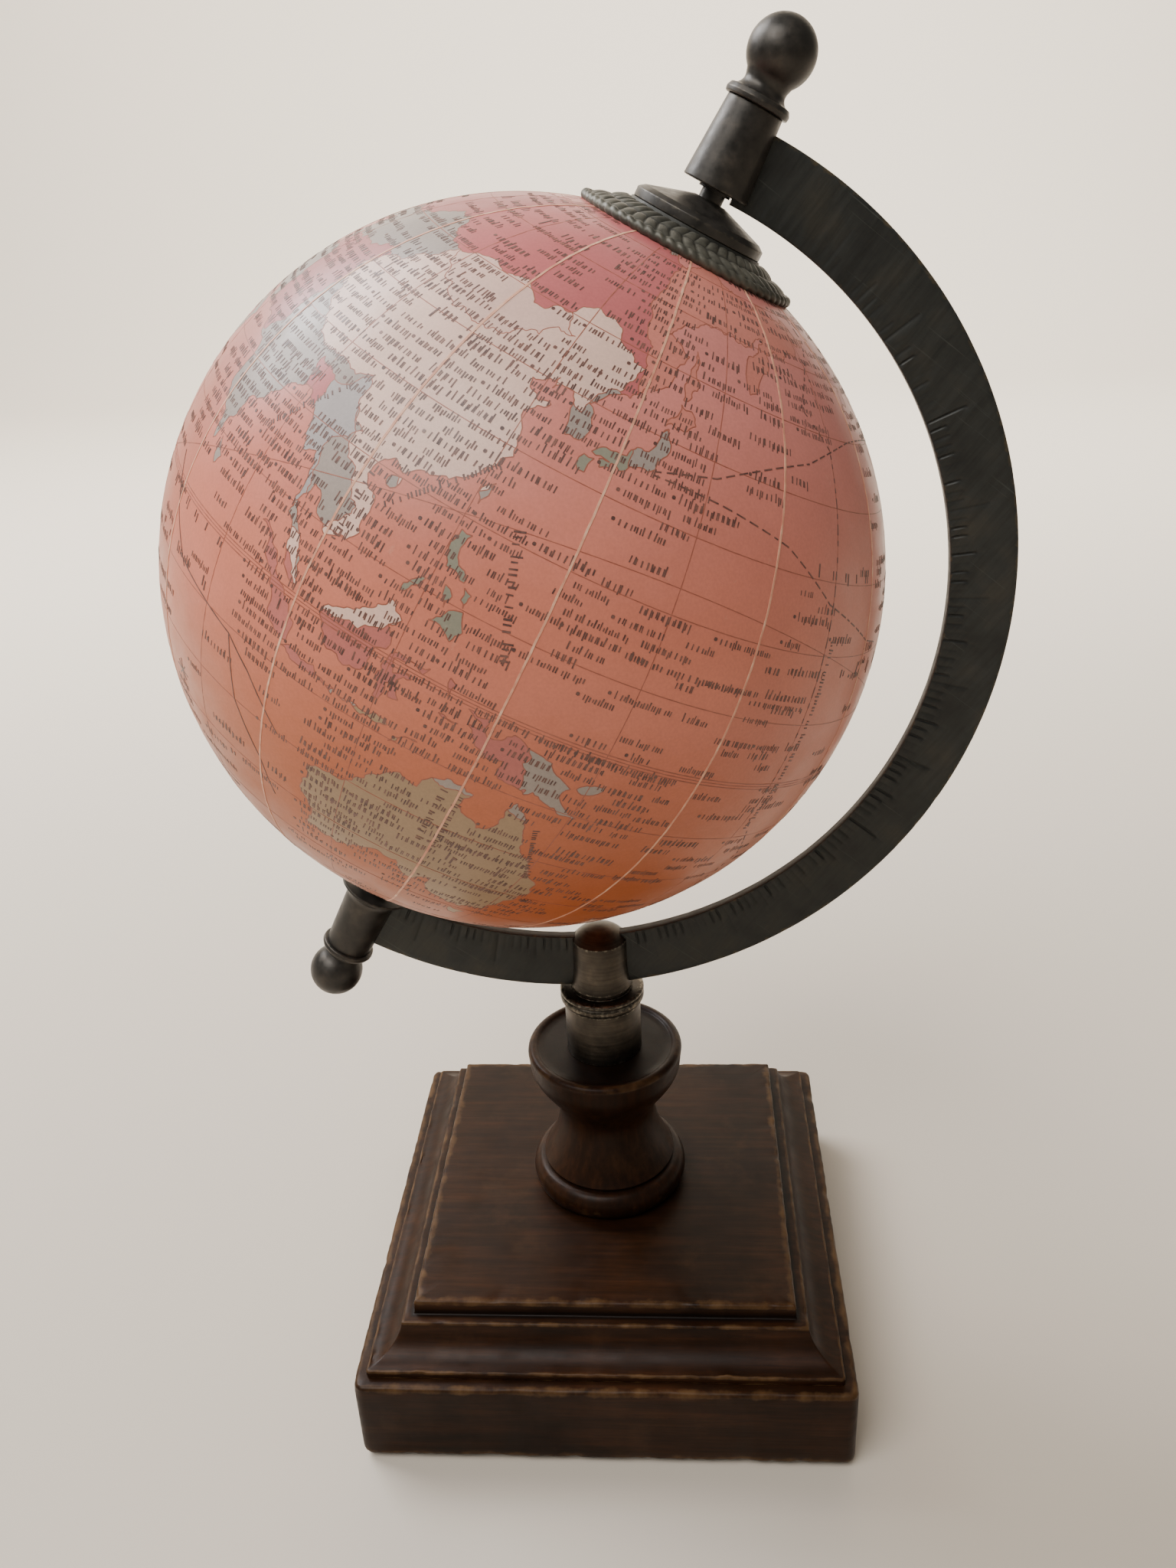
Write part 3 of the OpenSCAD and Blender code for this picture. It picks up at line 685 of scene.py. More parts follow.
def bore_hole(piece, place, radius, length):
    """Cuts a round hole along +Y, from place, and leaves the result in the piece's own mesh."""
    rim = [(radius * math.cos(math.tau * k / 32), radius * math.sin(math.tau * k / 32)) for k in range(32)]
    vertices = [(place[0] + x, place[1], place[2] + z) for x, z in rim]
    vertices += [(place[0] + x, place[1] + length, place[2] + z) for x, z in rim]
    faces = [(k, k + 32, (k + 1) % 32 + 32, (k + 1) % 32) for k in range(32)]
    faces += [tuple(range(32)), tuple(reversed(range(32, 64)))]
    mesh = bpy.data.meshes.new("cutter")
    mesh.from_pydata([Vector(v) * MM for v in vertices], [], faces)
    cutter = bpy.data.objects.new("cutter", mesh)
    bpy.context.scene.collection.objects.link(cutter)
    cut = piece.modifiers.new("bore", "BOOLEAN")
    cut.object = cutter
    cut.operation = "DIFFERENCE"
    cut.solver = "EXACT"
    bpy.context.view_layer.update()
    shape = piece.evaluated_get(bpy.context.evaluated_depsgraph_get())
    piece.data = bpy.data.meshes.new_from_object(shape)
    piece.modifiers.clear()
    bpy.data.objects.remove(cutter)


def add_post():
    stem_r = 3.1
    shoulder_z = BEAD_Z - BEAD_R
    shell = add_turned("ferrule_turning", [
        (stem_r, FERRULE_Z, 0),
        (FERRULE_R, FERRULE_Z, 0.2),
        (FERRULE_R, shoulder_z, 0.3),
        (NECK_R, shoulder_z, 0),
        (NECK_R, FERRULE_TOP, 0.2),
        (stem_r, FERRULE_TOP, 0),
    ], upright, BRUSHED, "stand", "dark_bronze", "ferrule")
    bore_hole(shell, (0, 4, FERRULE_Z + 4), SCREW_HOLE_R, 6)

    # Negative marks paint shade under the bead and in the groove between the bead and the lip.
    collar = [(NECK_R + 0.05, BEAD_Z - BEAD_R, 0), (COLLAR_R - BEAD_R, BEAD_Z - BEAD_R, -0.5)]
    for k in range(1, 17):
        a = math.radians(-90 + 10 * k)
        collar.append((COLLAR_R - BEAD_R + BEAD_R * math.cos(a), BEAD_Z + BEAD_R * math.sin(a),
                       0.9 if 5 < k < 14 else 0))
    collar.append((COLLAR_R - BEAD_R - 0.15, LIP_Z - LIP_R + 0.1, -1))
    collar.append((COLLAR_R - LIP_R - 0.3, LIP_Z - LIP_R + 0.1, -0.4))
    for k in range(1, 17):
        a = math.radians(-80 + 10 * k)
        collar.append((COLLAR_R - LIP_R + LIP_R * math.cos(a), LIP_Z + LIP_R * math.sin(a), 1))
    collar.append((NECK_R + 0.05, LIP_Z + LIP_R - 0.1, 0))
    vertices, faces, edges = lathe(collar, upright)
    add_piece("collar_turning", vertices, faces, BRUSHED, "stand", "dark_bronze", "collar_ring", edges=edges)

    rim_z = HOLDER_Z + HOLDER_H
    dome_r = (HOLDER_R ** 2 + DOME_H ** 2) / (2 * DOME_H)
    dome = []
    for k in range(12):
        r = (HOLDER_R - 0.3) * (1 - k / 12)
        dome.append((r, rim_z + DOME_H - dome_r + math.sqrt(dome_r ** 2 - r ** 2), 0))
    holder = add_turned("holder_turning", [
        (0, HOLDER_Z, 0),
        (HOLDER_FOOT_R, HOLDER_Z, 0.12),
        (HOLDER_FOOT_R, HOLDER_Z + 0.5, 0.2),
        (HOLDER_R + 0.35, HOLDER_Z + 1.6, 0),
        (HOLDER_R + 0.1, HOLDER_Z + 4, 0),
        (HOLDER_R, HOLDER_Z + 7, 0),
        (HOLDER_R, rim_z + 0.1, 0.15),
        *dome,
        (0, rim_z + DOME_H, 0),
    ], upright, BRUSHED, "meridian", "dark_bronze", "arc_holder")
    bore_hole(holder, (0, 2.5, HOLDER_Z + 6.3), SCREW_HOLE_R, 6)


add_post()

# ---- Meridian arc ----

ARC_SIDE = 5.05
ARC_DROP = 2.08
ARC_IN_R = GLOBE_R + 8.66
ARC_OUT_R = ARC_IN_R + 11.7
ARC_T = ARC_HIGH.y - ARC_LOW.y
ARC_W = ARC_OUT_R - ARC_IN_R
ARC_OVERRUN = 1.6
TICK_STEP = 1.25
TICK_WIDTH = 0.5
TICK_DEPTH = 0.22
TICK_ROWS = (0.3, 0.8, 1.6, 2.9, 3.3, 4.4, 4.8, 7.0, 7.4, 9.5)


def tick_length(k):
    """Length of the k-th mark on the scale, in mm."""
    if k % 10 == 0:
        return 7.1
    return 4.5 if k % 5 == 0 else 3.0


def arc_columns():
    """(angle in degrees, tick length, tick depth) for each column of the arc's mesh."""
    rng = random.Random(11)
    columns = [(-ARC_OVERRUN, 0, 0)]
    count = int(180 / TICK_STEP)
    for k in range(count + 1):
        middle = k * TICK_STEP + rng.uniform(-0.06, 0.06)
        length = tick_length(k)
        fade = min(1.0, max(0.12, (middle - 6) / 26))
        depth = TICK_DEPTH * fade * rng.choice((0.2, 0.5, 0.7, 0.9, 1.0))
        columns.append((middle - TICK_WIDTH / 2, 0, 0))
        columns.append((middle - TICK_WIDTH / 7, length, depth))
        columns.append((middle + TICK_WIDTH / 7, length, depth))
        columns.append((middle + TICK_WIDTH / 2, 0, 0))
    columns.append((180 + ARC_OVERRUN, 0, 0))
    return columns


def arc_section():
    """(offset from the inner edge, y, edge, on the front) round the arc's section."""
    t = ARC_T / 2
    bevel = 0.3
    section = []
    for offset in TICK_ROWS:
        section.append((offset, -t, 0.7 if offset == TICK_ROWS[0] else 0.0, True))
    section.append((ARC_W - 1.2, -t, 0, True))
    section.append((ARC_W - bevel, -t, 1, True))
    section.append((ARC_W - 0.08, -t + 0.1, 1, False))
    section.append((ARC_W, -t + bevel, 1, False))
    section.append((ARC_W, -0.3, 0.3, False))
    section.append((ARC_W, 0.3, 0.3, False))
    section.append((ARC_W, t - bevel, 1, False))
    section.append((ARC_W - bevel, t, 1, False))
    for k in range(1, 6):
        section.append((ARC_W * (1 - k / 6), t, 0, False))
    section.append((bevel, t, 0.7, False))
    section.append((0, t - bevel, 0.7, False))
    section.append((0, 0, 0, False))
    section.append((0, -t + bevel, 0.7, False))
    section.append((0.1, -t + 0.08, 0.8, False))
    return section


def add_arc():
    section = arc_section()
    rows = len(section)
    vertices = []
    edges = []
    for angle, length, depth in arc_columns():
        a = math.radians(angle)
        for offset, y, edge, front in section:
            r = ARC_IN_R + offset
            if front and offset <= length:
                y += depth
            spot = Vector((ARC_SIDE + r * math.sin(a), y, -ARC_DROP + r * math.cos(a)))
            dent = 0.05 * noise.noise(spot / 5) + 0.03 * noise.noise(spot / 1.7)
            if edge > 0.5:
                dent += 0.35 * max(0.0, noise.noise(spot / 2.4) - 0.3)
            spot.y -= math.copysign(dent, y) if abs(y) > 0.5 else 0
            vertices.append(on_axis(spot))
            # Painted shade: the engraved ticks are darkened in proportion to their depth.
            mark = -3 * depth if front and 0 < offset <= length else edge
            edges.append(mark)
    count = len(vertices) // rows
    faces = []
    for k in range(count - 1):
        for i in range(rows):
            i2 = (i + 1) % rows
            faces.append((k * rows + i, k * rows + i2, (k + 1) * rows + i2, (k + 1) * rows + i))
    faces.append(tuple(reversed(range(rows))))
    faces.append(tuple(range((count - 1) * rows, count * rows)))
    add_piece("engraved_arc", vertices, faces, PATINA, "meridian", "patinated_metal",
              "meridian_arc", edges=edges)


add_arc()

# ---- Sleeves and finials ----

AXLE_R = 2.05
SLEEVE_R = 5.7
SLEEVE_END_R = 4.7
FLARE_R = 7.2
FLARE_H = 3.2
FLANGE_R = 5.35
FLANGE_T = 1.5
BALL_R = 5.45
BALL_NECK_R = 3.4
ARC_IN_H = math.sqrt(ARC_IN_R ** 2 - ARC_SIDE ** 2)
ARC_OUT_H = math.sqrt(ARC_OUT_R ** 2 - ARC_SIDE ** 2)
TOP_SLEEVE_H = ARC_IN_H - ARC_DROP + 1.1
TOP_FLANGE_H = ARC_OUT_H - ARC_DROP + 2.4
BOTTOM_SLEEVE_H = ARC_IN_H + ARC_DROP - 0.7
BOTTOM_FLANGE_H = ARC_OUT_H + ARC_DROP + 3.2
TIP_GAP = 0.5
NORTH_TIP_H = TOP_SLEEVE_H - 1.8


def add_sleeves():
    add_turned("top_sleeve_turning", [
        (AXLE_R, TOP_SLEEVE_H, 0),
        (SLEEVE_R, TOP_SLEEVE_H, 0.25),
        (SLEEVE_END_R, TOP_FLANGE_H, 0.3),
        (AXLE_R, TOP_FLANGE_H, 0),
    ], on_axis, BRONZE, "meridian", "dark_bronze", "top_sleeve")
    length = BOTTOM_FLANGE_H - BOTTOM_SLEEVE_H
    waist = (SLEEVE_R + SLEEVE_END_R) / 2
    flare = []
    for k in range(1, 9):
        t = k / 8
        flare.append((waist + (FLARE_R - waist) * (1 - t) ** 2,
                      BOTTOM_SLEEVE_H + 0.5 + (FLARE_H - 0.5) * t, 0))
    add_turned("bottom_sleeve_turning", [
        (AXLE_R, BOTTOM_SLEEVE_H, 0),
        (FLARE_R, BOTTOM_SLEEVE_H, 0.15),
        (FLARE_R, BOTTOM_SLEEVE_H + 0.5, 0.15),
        *flare,
        (SLEEVE_END_R, BOTTOM_SLEEVE_H + length, 0.3),
        (AXLE_R, BOTTOM_SLEEVE_H + length, 0),
    ], on_south_axis, BRONZE, "meridian", "dark_bronze", "bottom_sleeve")


def add_finial(name, place, flange_h, neck_h, node):
    """Stepped flange, hollow neck and ball."""
    neck_start = flange_h + FLANGE_T
    sink = math.sqrt(BALL_R ** 2 - BALL_NECK_R ** 2)
    ball_h = neck_start + neck_h + sink
    neck = []
    for k in range(1, 11):
        t = k / 10
        r = BALL_NECK_R + (FLANGE_R - 0.8 - BALL_NECK_R) * (1 - t) ** 3 + 0.35 * t ** 3
        neck.append((r, neck_start + neck_h * t, 0))
    ball = []
    first = math.atan2(-sink, BALL_NECK_R) + 0.12
    for k in range(25):
        a = first + (math.pi / 2 - first) * k / 25
        ball.append((BALL_R * math.cos(a), ball_h + BALL_R * math.sin(a), 0))
    add_turned(name, [
        (0, flange_h, 0),
        (FLANGE_R, flange_h, 0.25),
        (FLANGE_R + 0.1, flange_h + FLANGE_T / 2, 0.3),
        (FLANGE_R - 0.3, neck_start, 0.25),
        (FLANGE_R - 0.8, neck_start + 0.12, 0.1),
        *neck,
        *ball,
        (0, ball_h + BALL_R, 0),
    ], place, BRONZE, "meridian", "dark_bronze", node)


add_sleeves()
add_finial("top_finial_turning", on_axis, TOP_FLANGE_H, 2.3, "top_finial")
add_finial("bottom_finial_turning", on_south_axis, BOTTOM_FLANGE_H, 1.6, "bottom_finial")

# ---- Polar ring and caps ----

RING_R = 19
RING_T = 1.7
RING_BEAD_R = 0.85
RING_HOLE_R = 8
CAP_R = 11.3
CAP_EDGE_H = 1.5
CAP_TIP_R = 2.7
CAP_BORE_R = 2.35
RING_SEAT_H = math.sqrt(GLOBE_R ** 2 - RING_R ** 2)
CAP_SEAT_H = math.sqrt(GLOBE_R ** 2 - RING_HOLE_R ** 2) + RING_T
RING_LAND_R = CAP_R + 0.5
LEAVES = 46
ROPE_TURNS = 64


def leaf(turn, t):
    """Relief of two rows of slanted leaves; turn goes round the ring, t from 0 inside to 1 outside."""
    row = 0 if t < 0.5 else 1
    across = 2 * t - row
    slant = 0.55 * across if row == 0 else -0.55 * across
    phase = turn * LEAVES + slant + 0.5 * row
    ridge = 1 - abs(2 * (phase % 1) - 1) ** 2
    return math.sqrt(max(0.0, ridge)) * math.sin(math.pi * min(1, max(0, across))) ** 0.5


def add_polar_ring():
    count = 644
    rim_r = RING_R - RING_BEAD_R
    rim_top = RING_SEAT_H + RING_T
    bead_z = RING_SEAT_H + RING_BEAD_R
    vertices = []
    edges = []
    for k in range(count):
        turn = k / count
        a = math.tau * turn
        column = [(RING_HOLE_R, GLOBE_R - 0.3, 0)]
        for t in (0.25, 0.5, 0.75):
            r = RING_HOLE_R + (rim_r - RING_HOLE_R) * t
            column.append((r, math.sqrt((GLOBE_R + 0.06) ** 2 - r ** 2), 0))
        # Painted shade: -1 where the rope bead meets the paper, and negative marks in the rope's grooves; the
        # rope's crests wear.
        column.append((rim_r, math.sqrt((GLOBE_R + 0.06) ** 2 - rim_r ** 2), -1))
        rope = 0.22 * abs(math.sin(math.pi * ROPE_TURNS * turn))
        for step in range(9):
            b = math.radians(-75 + 20 * step)
            twist = 0.24 * abs(math.sin(math.pi * ROPE_TURNS * turn + 0.9 * b)) - 0.2
            column.append((rim_r + (RING_BEAD_R + twist) * math.cos(b),
                           bead_z + (RING_BEAD_R + twist) * math.sin(b), 3 * twist + 0.4 + rope))
        start_r = rim_r - 0.35
        for step in range(17):
            t = 1 - step / 16
            r = RING_LAND_R + (start_r - RING_LAND_R) * t
            level = CAP_SEAT_H + (rim_top - CAP_SEAT_H) * (r - RING_LAND_R) / (rim_r - RING_LAND_R)
            relief = leaf(turn, t)
            wobble = 0.1 * noise.noise(Vector((r * math.cos(a), r * math.sin(a), 0)) / 2)
            # Leaf tops wear; the hollows between leaves and the corner under the cap get painted shade.
            column.append((r, level - 0.5 + 0.5 * relief + wobble, 1.3 * relief - 0.75))
        column.append((RING_LAND_R - 0.3, CAP_SEAT_H - 0.02, -1))
        column.append((RING_HOLE_R, CAP_SEAT_H - 0.02, 0))
        for r, z, edge in column:
            vertices.append(on_axis((r * math.cos(a), r * math.sin(a), z)))
            edges.append(edge)
    rows = len(vertices) // count
    faces = []
    for k in range(count):
        k2 = (k + 1) % count
        for i in range(rows):
            i2 = (i + 1) % rows
            faces.append((k * rows + i, k2 * rows + i, k2 * rows + i2, k * rows + i2))
    add_piece("leaf_ring", vertices, faces, RING_PATINA, "globe", "patinated_metal", "polar_ring",
              edges=edges)


def add_caps():
    add_turned("north_cap_turning", [
        (CAP_BORE_R, CAP_SEAT_H, 0),
        (CAP_R, CAP_SEAT_H, 0.2),
        (CAP_R, CAP_SEAT_H + CAP_EDGE_H, 0.3),
        (CAP_R - 1, CAP_SEAT_H + CAP_EDGE_H + 0.7, 0.4),
        (CAP_TIP_R, NORTH_TIP_H, 0.25),
        (CAP_BORE_R, NORTH_TIP_H, 0),
    ], on_axis, BRONZE, "globe", "dark_bronze", "north_cap")
    hub_r = 4.8
    under = [(r, math.sqrt((GLOBE_R + 0.06) ** 2 - r ** 2), 0) for r in (hub_r, 7, 9)]
    seat = math.sqrt((GLOBE_R + 0.06) ** 2 - CAP_R ** 2)
    add_turned("south_cap_turning", [
        (CAP_BORE_R, GLOBE_R + 0.6, 0),
        (hub_r, GLOBE_R + 0.6, 0),
        *under,
        (CAP_R, seat, 0.15),
        (CAP_R, seat + CAP_EDGE_H, 0.3),
        (CAP_R - 1, seat + CAP_EDGE_H + 0.7, 0.4),
        (CAP_TIP_R, BOTTOM_SLEEVE_H - TIP_GAP, 0.25),
        (CAP_BORE_R, BOTTOM_SLEEVE_H - TIP_GAP, 0),
    ], on_south_axis, BRONZE, "globe", "dark_bronze", "south_cap")


add_polar_ring()
add_caps()

# ---- Map: outlines, drawn as (longitude, latitude) points ----

LAND = {
    "eurasia": [
        (190, 66), (180, 69), (170, 70), (160, 69.5), (150, 71.5), (140, 72.5), (130, 71), (127, 73.5),
        (113, 74), (104, 77.5), (95, 76), (87, 75), (80, 72.5), (73, 71.5), (73, 68), (70, 73), (68, 69),
        (60, 69), (54, 68.5), (46, 68), (44, 66.5), (38, 64), (35, 65), (41, 67), (33, 69.5), (28, 71),
        (20, 70), (14, 67), (10, 63.5), (5, 61.5), (6, 58), (10.5, 59.5), (11.5, 57.5), (13, 55.5),
        (16, 56.5), (18.5, 60), (17, 61), (21, 64), (24, 65.8), (25, 65), (21.5, 61.5), (23, 60), (29, 60),
        (24, 59.3), (22, 57.5), (21, 55.5), (14, 54), (11, 54.3), (10, 57.5), (8.2, 56), (8.5, 54),
        (4.5, 52.5), (1.8, 50.8), (-1.5, 49.7), (-4.5, 48.5), (-1.2, 46), (-1.6, 43.4), (-9, 43.2),
        (-9, 38.7), (-6, 36.8), (-2, 36.8), (0, 38.8), (3, 42), (3, 43.3), (7.5, 43.7), (10.5, 43),
        (12.5, 41.8), (16, 38.2), (18.5, 40.2), (14, 42.3), (12.3, 44.5), (13.6, 45.6), (15.5, 43.8),
        (19.4, 41.8), (21, 38.5), (22.8, 36.6), (24, 38), (22.9, 40.5), (26, 40.8), (28.7, 41.3), (28, 43),
        (30.5, 46), (33, 46), (33.5, 44.5), (36.5, 45.3), (39, 47), (38, 44.7), (41.5, 41.8), (36, 41.2),
        (31, 41.3), (29.3, 41.1), (27, 40.3), (26.3, 39), (28, 36.8), (31, 36.5), (36, 36.8), (35.5, 33.8),
        (34.2, 31.3), (32.4, 31.2), (34, 28), (35, 29.4), (37.5, 24.5), (39.5, 20.5), (42.7, 15.5),
        (43.5, 12.7), (48, 14), (52, 16), (55.5, 18), (59.8, 22.5), (56.4, 24.8), (56.3, 26.2), (54, 24.2),
        (51.5, 24.8), (50.2, 26.5), (48, 29.9), (50.5, 30), (52.5, 27.5), (56.8, 27), (58, 25.5),
        (61.5, 25.2), (66.7, 25), (68.5, 23.3), (72.7, 21.3), (73, 18), (75, 13), (77.3, 8.2), (80, 13),
        (80.2, 15.8), (82.5, 16.8), (85.5, 19.8), (87, 21.5), (90.5, 22.3), (92, 21), (94.3, 17.5),
        (95.3, 15.8), (97.5, 16.7), (98.6, 13), (98.5, 8.5), (100.4, 5.5), (101.3, 2.8), (103.5, 1.3),
        (104.2, 1.5), (103.4, 4.5), (102.2, 6.2), (100.2, 8.5), (99.3, 11.5), (100.2, 13.4), (102, 12.3),
        (104.8, 9), (106, 9.5), (109.2, 11.7), (109, 14.5), (106, 18.2), (106.6, 20.3), (108.2, 21.6),
        (110.2, 20.5), (111.5, 21.7), (114, 22.3), (117.5, 23.8), (120, 26.5), (121.8, 29), (121, 31.8),
        (119.5, 34.8), (122.5, 37), (118.8, 37.5), (117.8, 39), (121.5, 40.8), (121.3, 39), (124.5, 40),
        (125.3, 37.8), (126.4, 34.5), (129.2, 35.3), (129.3, 37.2), (127.5, 39.6), (130.5, 42.4),
        (133, 42.8), (138.5, 46.8), (141, 52.8), (138, 54.2), (135.3, 54.8), (142.5, 59.3), (149, 59.6),
        (155, 59.3), (160, 61.8), (163, 62.3), (157, 58), (155.7, 56.5), (156.2, 51.5), (158.5, 52.8),
        (162, 56.2), (163, 59.8), (170, 60.2), (178, 62.5), (179.5, 64.8), (186, 64.5)],
    "africa": [
        (-6, 35.8), (-2, 35.2), (10, 37.2), (11, 34), (15.5, 32.3), (20, 31), (20, 32.8), (25, 31.7),
        (32.3, 31.2), (32.6, 29.8), (35.6, 24), (37.3, 21), (39, 15.5), (43, 12), (44.5, 10.5),
        (51.2, 11.8), (48, 5), (43, -0.8), (39.3, -5), (40.6, -11), (40, -16), (35, -20.5), (35.3, -24),
        (32.8, -26), (31, -30), (26.5, -33.8), (20, -34.8), (18.3, -34), (15.2, -27), (12, -18),
        (13.7, -11), (9, -1), (9.7, 4), (5.5, 4.5), (1, 6), (-7.7, 4.5), (-13, 8.5), (-17, 14.7),
        (-16.5, 21), (-10, 29.5), (-9.6, 30.5)],
    "madagascar": [(49.3, -12), (50.4, -16), (47.2, -25), (44.5, -25), (43.5, -21.5), (44.5, -16.5)],
    "britain": [(-5.5, 50.2), (1, 51), (1.5, 53), (-1.5, 55), (-3, 58.5), (-5.5, 57.5), (-3.5, 54),
                (-4.5, 53)],
    "ireland": [(-10, 52), (-6.2, 52.2), (-6, 54.5), (-8.5, 55.2), (-10, 54)],
    "iceland": [(-22.5, 64), (-18, 63.4), (-13.8, 65), (-16, 66.5), (-23, 66.3)],
    "greenland": [
        (-44, 60), (-40, 65), (-22, 70.5), (-18, 77), (-12, 81.5), (-33, 83.6), (-60, 82), (-72, 78.5),
        (-58, 75.5), (-54, 69.5), (-51, 63)],
    "north_america": [
        (-168, 65.8), (-162, 66.5), (-166, 68.5), (-156.5, 71.2), (-141, 69.7), (-128, 70.2), (-115, 68),
        (-108, 68), (-96, 68.2), (-94, 71.8), (-88, 68.5), (-81.5, 69), (-82, 66.8), (-87, 64.5),
        (-94, 61), (-94.5, 58.8), (-92.5, 57), (-82.3, 55.2), (-82, 52.8), (-79.5, 51.2), (-79, 54.8),
        (-76.8, 57.5), (-78, 62.4), (-73, 62), (-69.5, 59), (-64.5, 60.3), (-61.5, 57), (-56, 52.5),
        (-60, 50.2), (-66.5, 50.2), (-65, 48), (-61, 45.5), (-66, 43.5), (-70.5, 43), (-70, 41.7),
        (-74, 40.5), (-76, 37), (-75.6, 35.3), (-81, 31.8), (-80.2, 26.5), (-81, 25.2), (-82.8, 28.5),
        (-84, 30), (-89.5, 29.2), (-94.5, 29.5), (-97.3, 27), (-97.7, 22.5), (-95, 18.6), (-91, 18.8),
        (-90.4, 21), (-87, 21.4), (-88.3, 16.5), (-84, 15.8), (-83.5, 11), (-79.8, 9.4), (-77.5, 8.5),
        (-83, 8.3), (-85.8, 10.5), (-87.7, 13), (-92.3, 14.5), (-95, 16.2), (-99.8, 16.7), (-105.4, 20.2),
        (-109.5, 25.7), (-112.8, 30.5), (-114.7, 31.6), (-111, 26), (-109.5, 23), (-112.3, 26),
        (-117.2, 32.5), (-120.6, 34.5), (-124.2, 40), (-124, 46.3), (-123, 48.5), (-127.8, 51),
        (-130.5, 54.5), (-135, 58.3), (-141, 60), (-148, 60.2), (-151.5, 59.2), (-158.5, 56),
        (-164.5, 54.5), (-157.5, 58.8), (-162, 58.8), (-166, 61.5), (-161, 64.3), (-166, 64.5)],
    "baffin": [(-62, 66.8), (-65, 62.5), (-72, 64), (-78, 65), (-73, 68), (-88, 72), (-85, 73.7), (-76, 72.5),
               (-68, 70)],
    "victoria": [(-105, 73), (-102, 69), (-115, 69), (-118, 72)],
    "ellesmere": [(-62, 82.5), (-78, 83), (-90, 81), (-85, 77), (-78, 76.5), (-75, 79)],
    "south_america": [
        (-77.5, 8.5), (-75.5, 10.8), (-71.5, 12.3), (-64, 10.6), (-60, 8.5), (-51.5, 4.3), (-50, 0),
        (-44, -2.5), (-35.2, -5.5), (-35, -8.5), (-39, -13), (-39, -17.8), (-41, -22), (-48.5, -26.5),
        (-53.5, -34), (-58, -34.5), (-57.5, -38), (-62.2, -39), (-65, -42), (-67.5, -46), (-69, -51),
        (-68.5, -52.5), (-65.2, -54.8), (-71, -54), (-75.5, -50), (-73.5, -42), (-71.5, -30),
        (-70.3, -18.5), (-76.2, -14), (-81.2, -5.5), (-80, -2), (-80, 0.8), (-77.3, 4)],
    "cuba": [(-84.8, 21.9), (-80, 23), (-74.3, 20.2), (-77.6, 19.9)],
    "hispaniola": [(-74.4, 18.4), (-72.8, 19.9), (-68.5, 18.6), (-71.5, 17.7)],
    "australia": [
        (142.5, -10.8), (145.3, -15), (149, -20.5), (153, -25.5), (153.5, -28.5), (151, -34),
        (150, -37.3), (146.3, -39), (143.5, -38.8), (140, -37.5), (138, -35.6), (137.8, -32.6),
        (135.5, -34.8), (131.5, -31.5), (126, -32.3), (123.6, -33.9), (118, -35), (115, -34.3),
        (115.7, -31.8), (113.3, -26), (113.8, -22), (117, -20.7), (121, -19.5), (124, -16.3),
        (126.8, -14), (129.5, -14.9), (130.8, -12.4), (132.7, -11.4), (136.8, -12.2), (135.6, -15),
        (139.3, -17.5), (141, -16.5), (141.6, -13)],
    "tasmania": [(144.7, -40.8), (148.2, -40.9), (147.5, -43.4), (145.8, -43.2)],
    "north_island": [(172.8, -34.5), (175.5, -37), (178.5, -37.8), (176.8, -40), (175.2, -41.5),
                     (173.8, -39.3),
                     (174.8, -37.5)],
    "south_island": [(172.8, -40.7), (174.2, -41.7), (171.2, -44.3), (170.5, -46), (168.4, -46.6),
                     (166.6, -45.8), (170.5, -42.8)],
    "new_guinea": [
        (131.2, -0.8), (134, -0.9), (134.8, -3.3), (137.8, -1.5), (141, -2.6), (145.8, -4.9), (147.8, -6),
        (147, -6.9), (150.8, -10.3), (147.2, -9.6), (143.5, -8.3), (142.5, -9.2), (138.5, -8.3),
        (138, -5.6), (133, -4), (132, -2.8), (133.8, -2.3)],
    "new_britain": [(148.5, -5.7), (152, -4.2), (151.5, -5.5), (149.5, -6.3)],
    "borneo": [
        (109.2, 1.5), (111.3, 2.5), (113, 3.2), (115.5, 5.5), (117, 7), (119.2, 5.2), (117.8, 4),
        (118.9, 1), (117.5, 0.5), (116.3, -3.5), (114.5, -4), (111.7, -3.3), (110, -1.3), (109, 0.3)],
    "sulawesi": [
        (120, 1.2), (124.9, 1.6), (124.3, 0.4), (120.3, 0.6), (120.8, -1.3), (123.3, -0.9), (121.6, -1.9),
        (122.8, -4.3), (121.4, -4.6), (121, -2.7), (120.4, -3), (120.4, -5.5), (119.5, -5.4), (119.5, -3.4),
        (118.9, -2.7)],
    "sumatra": [(95.3, 5.6), (97.5, 5.2), (100.5, 2.2), (103.8, -1), (106, -3), (105.8, -5.8), (104.5, -5.8),
                (101.5, -3.2), (98.7, 1.7)],
    "java": [(105.2, -6.8), (106.5, -6), (108.8, -6.8), (110.8, -6.4), (114.5, -7.7), (114.4, -8.7),
             (108.5, -7.8)],
    "sundas": [(115.2, -8.2), (119, -8.2), (122.8, -8.2), (119, -8.9)],
    "timor": [(123.6, -10.3), (127.2, -8.4), (125, -9)],
    "halmahera": [(127.6, 1.8), (128.7, 1.2), (128.3, -0.8), (127.8, 0.4)],
    "seram": [(128, -3.1), (130.8, -3.3), (129.5, -3.5)],
    "luzon": [(120.6, 18.5), (122.2, 18.4), (121.7, 15.8), (124, 13), (123.3, 13), (121, 13.7),
              (120.2, 15.8)],
    "mindanao": [(122, 7), (123.5, 8.6), (125.5, 9.8), (126.5, 7.5), (125.5, 5.8), (124, 6.8)],
    "samar": [(124.3, 12.5), (125.5, 12), (125.2, 10.2), (124.5, 11)],
